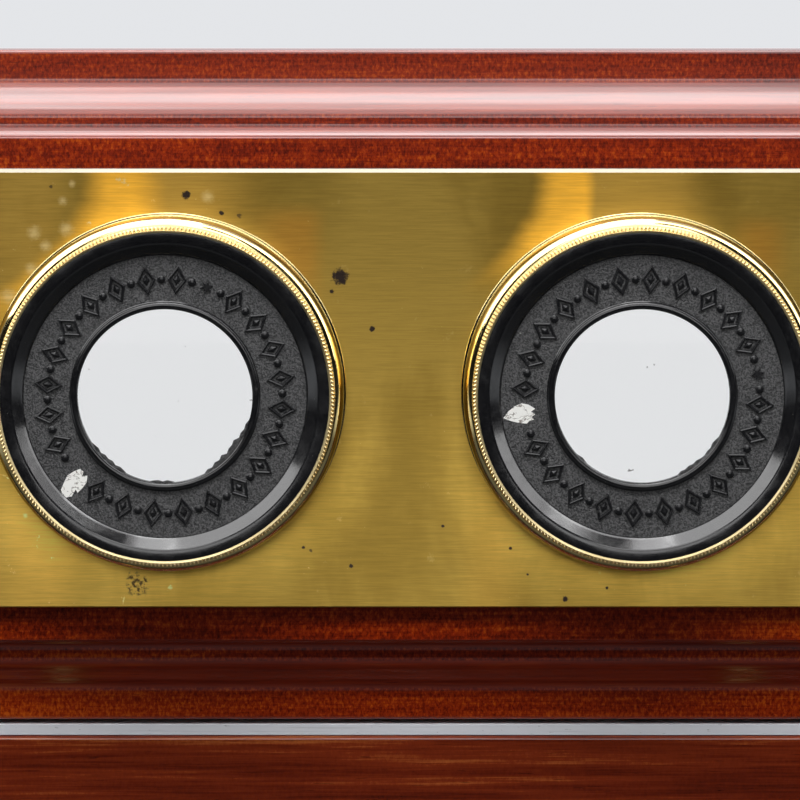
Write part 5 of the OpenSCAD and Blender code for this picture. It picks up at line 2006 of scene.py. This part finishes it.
@dataclass
class Cabinet:
    """The cabinet with its metal strip, and the drawer."""

    finishes: Finishes
    rounding: float = 0.4
    strip_rounding: float = 0.08
    bare_rounding: float = 0.3
    bulb_depth: float = 3.4
    knob_steps: int = 64

    def boards(self) -> None:
        """Makes the boards of the cabinet and of the drawer, and the strip."""
        brown, bare = self.finishes.front, self.finishes.bare
        for node, rounding, finish, body, slot in (
                ("cabinet_top", self.rounding, brown, "cabinet", "mahogany"),
                ("cabinet_sides", self.rounding, self.finishes.cabinet_side, "cabinet", "mahogany"),
                ("cabinet_back", self.rounding, brown, "cabinet", "mahogany"),
                ("plinth_board", self.rounding, brown, "cabinet", "dark_mahogany"),
                ("sill_strip", self.strip_rounding, self.finishes.strip, "cabinet", "nickel_silver"),
                ("drawer_front", self.rounding, brown, "drawer", "mahogany"),
                ("drawer_sides", self.bare_rounding, bare, "drawer", "drawer_wood"),
                ("drawer_rear", self.bare_rounding, self.finishes.bare_cross, "drawer", "drawer_wood")):
            fit(soften(node, rounding), finish, body, slot, node)
        dress(self.finishes.bare_cross, "drawer_floor")

    def knobs(self) -> None:
        """Makes the drawer's two turned knobs."""
        low, high = corners("drawer_knobs")
        radius = (high.z - low.z) / 2
        at = (high.x - radius, high.y, (high.z + low.z) / 2)
        length = high.y - low.y
        rose = [(radius - 1, 0), (radius - 1, 0.6), (radius - 1.4, 1.0), (radius - 2.4, 1.3)]
        neck = [(3.0, 2.0), (2.6, 3.2), (2.6, 4.6)]
        bulb = arc((0, length - self.bulb_depth), (radius, self.bulb_depth), range(-60, 90, 10))
        outline = [(0, 0), *rose, *neck, *bulb, (0, length)]
        right = turn("drawer_knob_right", outline, at, Facing.FORWARD, self.knob_steps)
        left = copy_of(right, "drawer_knob_left", FLIP_X)
        both = joined("drawer_knobs_turned", [right, left])
        fit(both, self.finishes.dull, "drawer", "polished_brass", "drawer_knobs")

    def build(self) -> None:
        """Makes and dresses the cabinet and its drawer."""
        self.boards()
        self.knobs()


class Reach(Enum):
    """What a lamp lights, as whether matt surfaces take it and whether mirroring ones show it."""

    MATT = (True, False)
    MIRRORS = (False, True)


@dataclass(frozen=True)
class Lamp:
    """A soft lamp.

    Its place, size (width and height) and the point that it faces are in metres. Its radiance is 1 for white.
    """

    name: str
    at: Place
    size: Point
    radiance: float
    reach: Reach
    target: Place = (0, -0.08, 0.11)

    def hang(self) -> None:
        """Hangs the lamp. It is not in sight, and lenses don't show it."""
        data = bpy.data.lights.new(self.name, "AREA")
        data.shape = "RECTANGLE"
        data.size, data.size_y = self.size
        data.energy = self.radiance * math.pi * self.size[0] * self.size[1]
        lamp = bpy.data.objects.new(self.name, data)
        lamp.location = self.at
        lamp.rotation_euler = (Vector(self.target) - Vector(self.at)).to_track_quat("-Z", "Y").to_euler()
        lamp.visible_camera = False
        lamp.visible_transmission = False
        lamp.visible_diffuse, lamp.visible_glossy = self.reach.value
        bpy.context.scene.collection.objects.link(lamp)


LAMPS = (
    Lamp("key", (0, -0.72, 1.22), (1.6, 0.5), 10.2, Reach.MATT),
    Lamp("rear_left", (-0.9, 1.3, 0.7), (0.9, 0.9), 5, Reach.MATT),
    Lamp("rear_right", (0.9, 1.3, 0.7), (0.9, 0.9), 5, Reach.MATT),
    Lamp("sheen_overhead", (0, -0.13, 1.06), (0.3, 1.0), 5.4, Reach.MIRRORS, (0, -0.13, 0)),
    Lamp("sheen_middle", (0, -0.83, 0.914), (0.8, 0.48), 3.0, Reach.MIRRORS),
    Lamp("sheen_low", (0, -1.17, 0.61), (0.9, 0.44), 1.2, Reach.MIRRORS),
    Lamp("sheen_front", (0, -1.32, 0.33), (1.0, 0.24), 2.4, Reach.MIRRORS),
    Lamp("sheen_left", (-0.62, -0.15, 0.90), (1.1, 1.2), 4, Reach.MIRRORS),
    Lamp("sheen_top_right", (0.34, -0.15, 1.05), (0.37, 1.0), 4, Reach.MIRRORS),
    Lamp("sheen_right", (0.82, -0.15, 0.68), (0.54, 1.0), 3.5, Reach.MIRRORS),
)


@dataclass
class Studio:
    """The camera, the lamps, the pale surroundings and the floor.

    The camera's lengths are in millimetres and the floor's in metres. A pair holds where a smooth change
    starts and where it ends.
    """

    lens_middle: Vector
    plate_front: float
    distance: float = 780.0
    rise: float = 68.69
    pitch: float = 5.124
    yaw: float = 0.037
    focal_length: float = 252.12
    sensor: float = 36.0
    view_end: float = 60.0
    backdrop: Colour = (0.775, 0.788, 0.812)
    behind_lenses: Colour = (0.757, 0.761, 0.775)
    ambient: Colour = (0.95, 0.97, 1.0)
    ambient_strength: float = 0.3
    mirrored_sky: Point = (0.1, 0.75)
    sky_share: Point = (0.012, 1.0)
    sky_lift: float = 0.3
    floor_half: float = 6.0
    floor_tone: Colour = (0.455, 0.464, 0.479)
    floor_bounce: Colour = (0.10, 0.10, 0.10)
    floor_mirrored: Colour = (0.93, 0.96, 1.0)
    faint: float = 0.02
    floor_fades: Point = (0.5, 1.6)
    mirrored_floor: float = 0.13
    mirrored_from: Point = (0.09, 0.15)
    mirrored_reach: Point = (0.22, 0.38)
    mirrored_sides: float = 0.8
    mirrored_aside: Point = (0.2, 0.45)
    aside_reach: Point = (0.25, 0.5)

    def camera(self) -> None:
        """Places the camera where the photograph was taken from."""
        data = bpy.data.cameras.new("camera")
        data.lens = self.focal_length
        data.sensor_width = self.sensor
        data.clip_end = self.view_end
        camera = bpy.data.objects.new("camera", data)
        place = Vector((0, self.plate_front - self.distance, self.lens_middle.z + self.rise))
        camera.location = place * MM
        camera.rotation_euler = (math.radians(90 - self.pitch), 0, math.radians(self.yaw))
        bpy.context.scene.collection.objects.link(camera)
        bpy.context.scene.camera = camera

    def surroundings(self) -> None:
        """Makes the world: pale to the camera and behind the object, dimmer in front of it."""
        world = bpy.data.worlds.new("surroundings")
        bpy.context.scene.world = world
        world.use_nodes = True
        tree = world.node_tree
        tree.nodes.clear()

        def add(kind: str, inputs: dict, **settings: object) -> bpy.types.Node:
            """Adds a node of the world."""
            return add_node(tree, kind, inputs, settings)

        rays = add("LightPath", {}).outputs
        way = add("SeparateXYZ", {0: add("TexCoord", {}).outputs["Generated"]}).outputs
        behind = add("Math", {0: way[2], 1: self.sky_lift, 2: way[1]}, operation="MULTIPLY_ADD").outputs[0]
        (low, high), (least, most) = self.mirrored_sky, self.sky_share
        share = add("MapRange", {"Value": behind, 1: low, 2: high, 3: least, 4: most},
                    interpolation_type="SMOOTHSTEP").outputs[0]

        def glow(colour: Colour, strength: Socket | float) -> Socket:
            """Adds a background of a colour."""
            return add("Background", {"Color": (*colour, 1), "Strength": strength}).outputs[0]

        seen, mirrored = glow(self.backdrop, 1.0), glow(self.backdrop, share)
        ambient, lens = glow(self.ambient, self.ambient_strength), glow(self.behind_lenses, 1.0)
        glossy = add("MixShader", {0: rays["Is Glossy Ray"], 1: ambient, 2: mirrored}).outputs[0]
        through = add("MixShader", {0: rays["Is Transmission Ray"], 1: glossy, 2: lens}).outputs[0]
        result = add("MixShader", {0: rays["Is Camera Ray"], 1: through, 2: seen}).outputs[0]
        add("OutputWorld", {"Surface": result})

    def floor(self) -> None:
        """Lays the pale floor, which runs out into the backdrop. Mirrors show its sides and its near part."""
        deselect()
        bpy.ops.mesh.primitive_plane_add(size=2 * self.floor_half)
        floor = named("floor")
        paper = Recipe("floor_paper", Roughness=0.9, Specular_IOR_Level=0.0)
        rays = paper.add("LightPath").outputs
        paper.link(paper.mix(rays["Is Camera Ray"], self.floor_bounce, self.floor_tone), "Base Color")
        place = paper.add("SeparateXYZ", {0: paper.spot["Object"]}).outputs
        away = paper.add("VectorMath", {0: paper.spot["Object"]}, operation="LENGTH").outputs["Value"]
        far = paper.times(paper.between(away, *self.floor_fades), rays["Is Camera Ray"])
        ahead = paper.times(place[1], -1)
        near = paper.times(paper.between(ahead, *self.mirrored_from, self.faint, self.mirrored_floor),
                           paper.between(ahead, *self.mirrored_reach, 1, self.faint))
        aside = paper.times(paper.between(paper.sum(place[0], 0, "ABSOLUTE"), *self.mirrored_aside),
                            paper.between(ahead, *self.aside_reach, self.mirrored_sides, self.faint))
        shine = paper.most(aside, near)

        def glow(colour: Colour, strength: Socket | float) -> Socket:
            """Adds an emission of a colour."""
            return paper.add("Emission", {"Color": (*colour, 1), "Strength": strength}).outputs[0]

        mirrored, sheet = glow(self.floor_mirrored, shine), glow(self.backdrop, 1.0)
        lens = glow(self.behind_lenses, 1.0)
        seen = paper.add("MixShader", {0: far, 1: paper.shader.outputs[0], 2: sheet}).outputs[0]
        glossy = paper.add("MixShader", {0: rays["Is Glossy Ray"], 1: seen, 2: mirrored}).outputs[0]
        shown = paper.add("MixShader", {0: rays["Is Transmission Ray"], 1: glossy, 2: lens}).outputs[0]
        paper.tree.links.new(shown, paper.tree.nodes["Material Output"].inputs["Surface"])
        floor.data.materials.append(paper.material)

    def build(self) -> None:
        """Sets up the studio."""
        bpy.context.scene.view_settings.view_transform = "Standard"
        self.camera()
        self.surroundings()
        self.floor()
        for lamp in LAMPS:
            lamp.hang()


def main() -> None:
    """Builds the studio and every sub-assembly, in order."""
    logging.basicConfig(level=logging.INFO, format="%(name)s: %(message)s")
    low, high = corners("socket_right")
    middle = Vector((0, 0, (low.z + high.z) / 2))
    front = corners("lens_plate")[0].y
    Studio(middle, front).build()
    finishes = Finishes(middle, front)
    MouldedFrame(finishes).build()
    LensPanel(finishes).build()
    for side in ("left", "right"):
        Eyepiece(finishes, side).build()
    Focusing(finishes).build()
    TiltGear(finishes).build()
    ViewerBody(finishes).build()
    ReflectorFlap(finishes).build()
    RearDoor(finishes).build()
    Cabinet(finishes).build()
    bpy.context.view_layer.update()


if __name__ == "__main__":
    main()
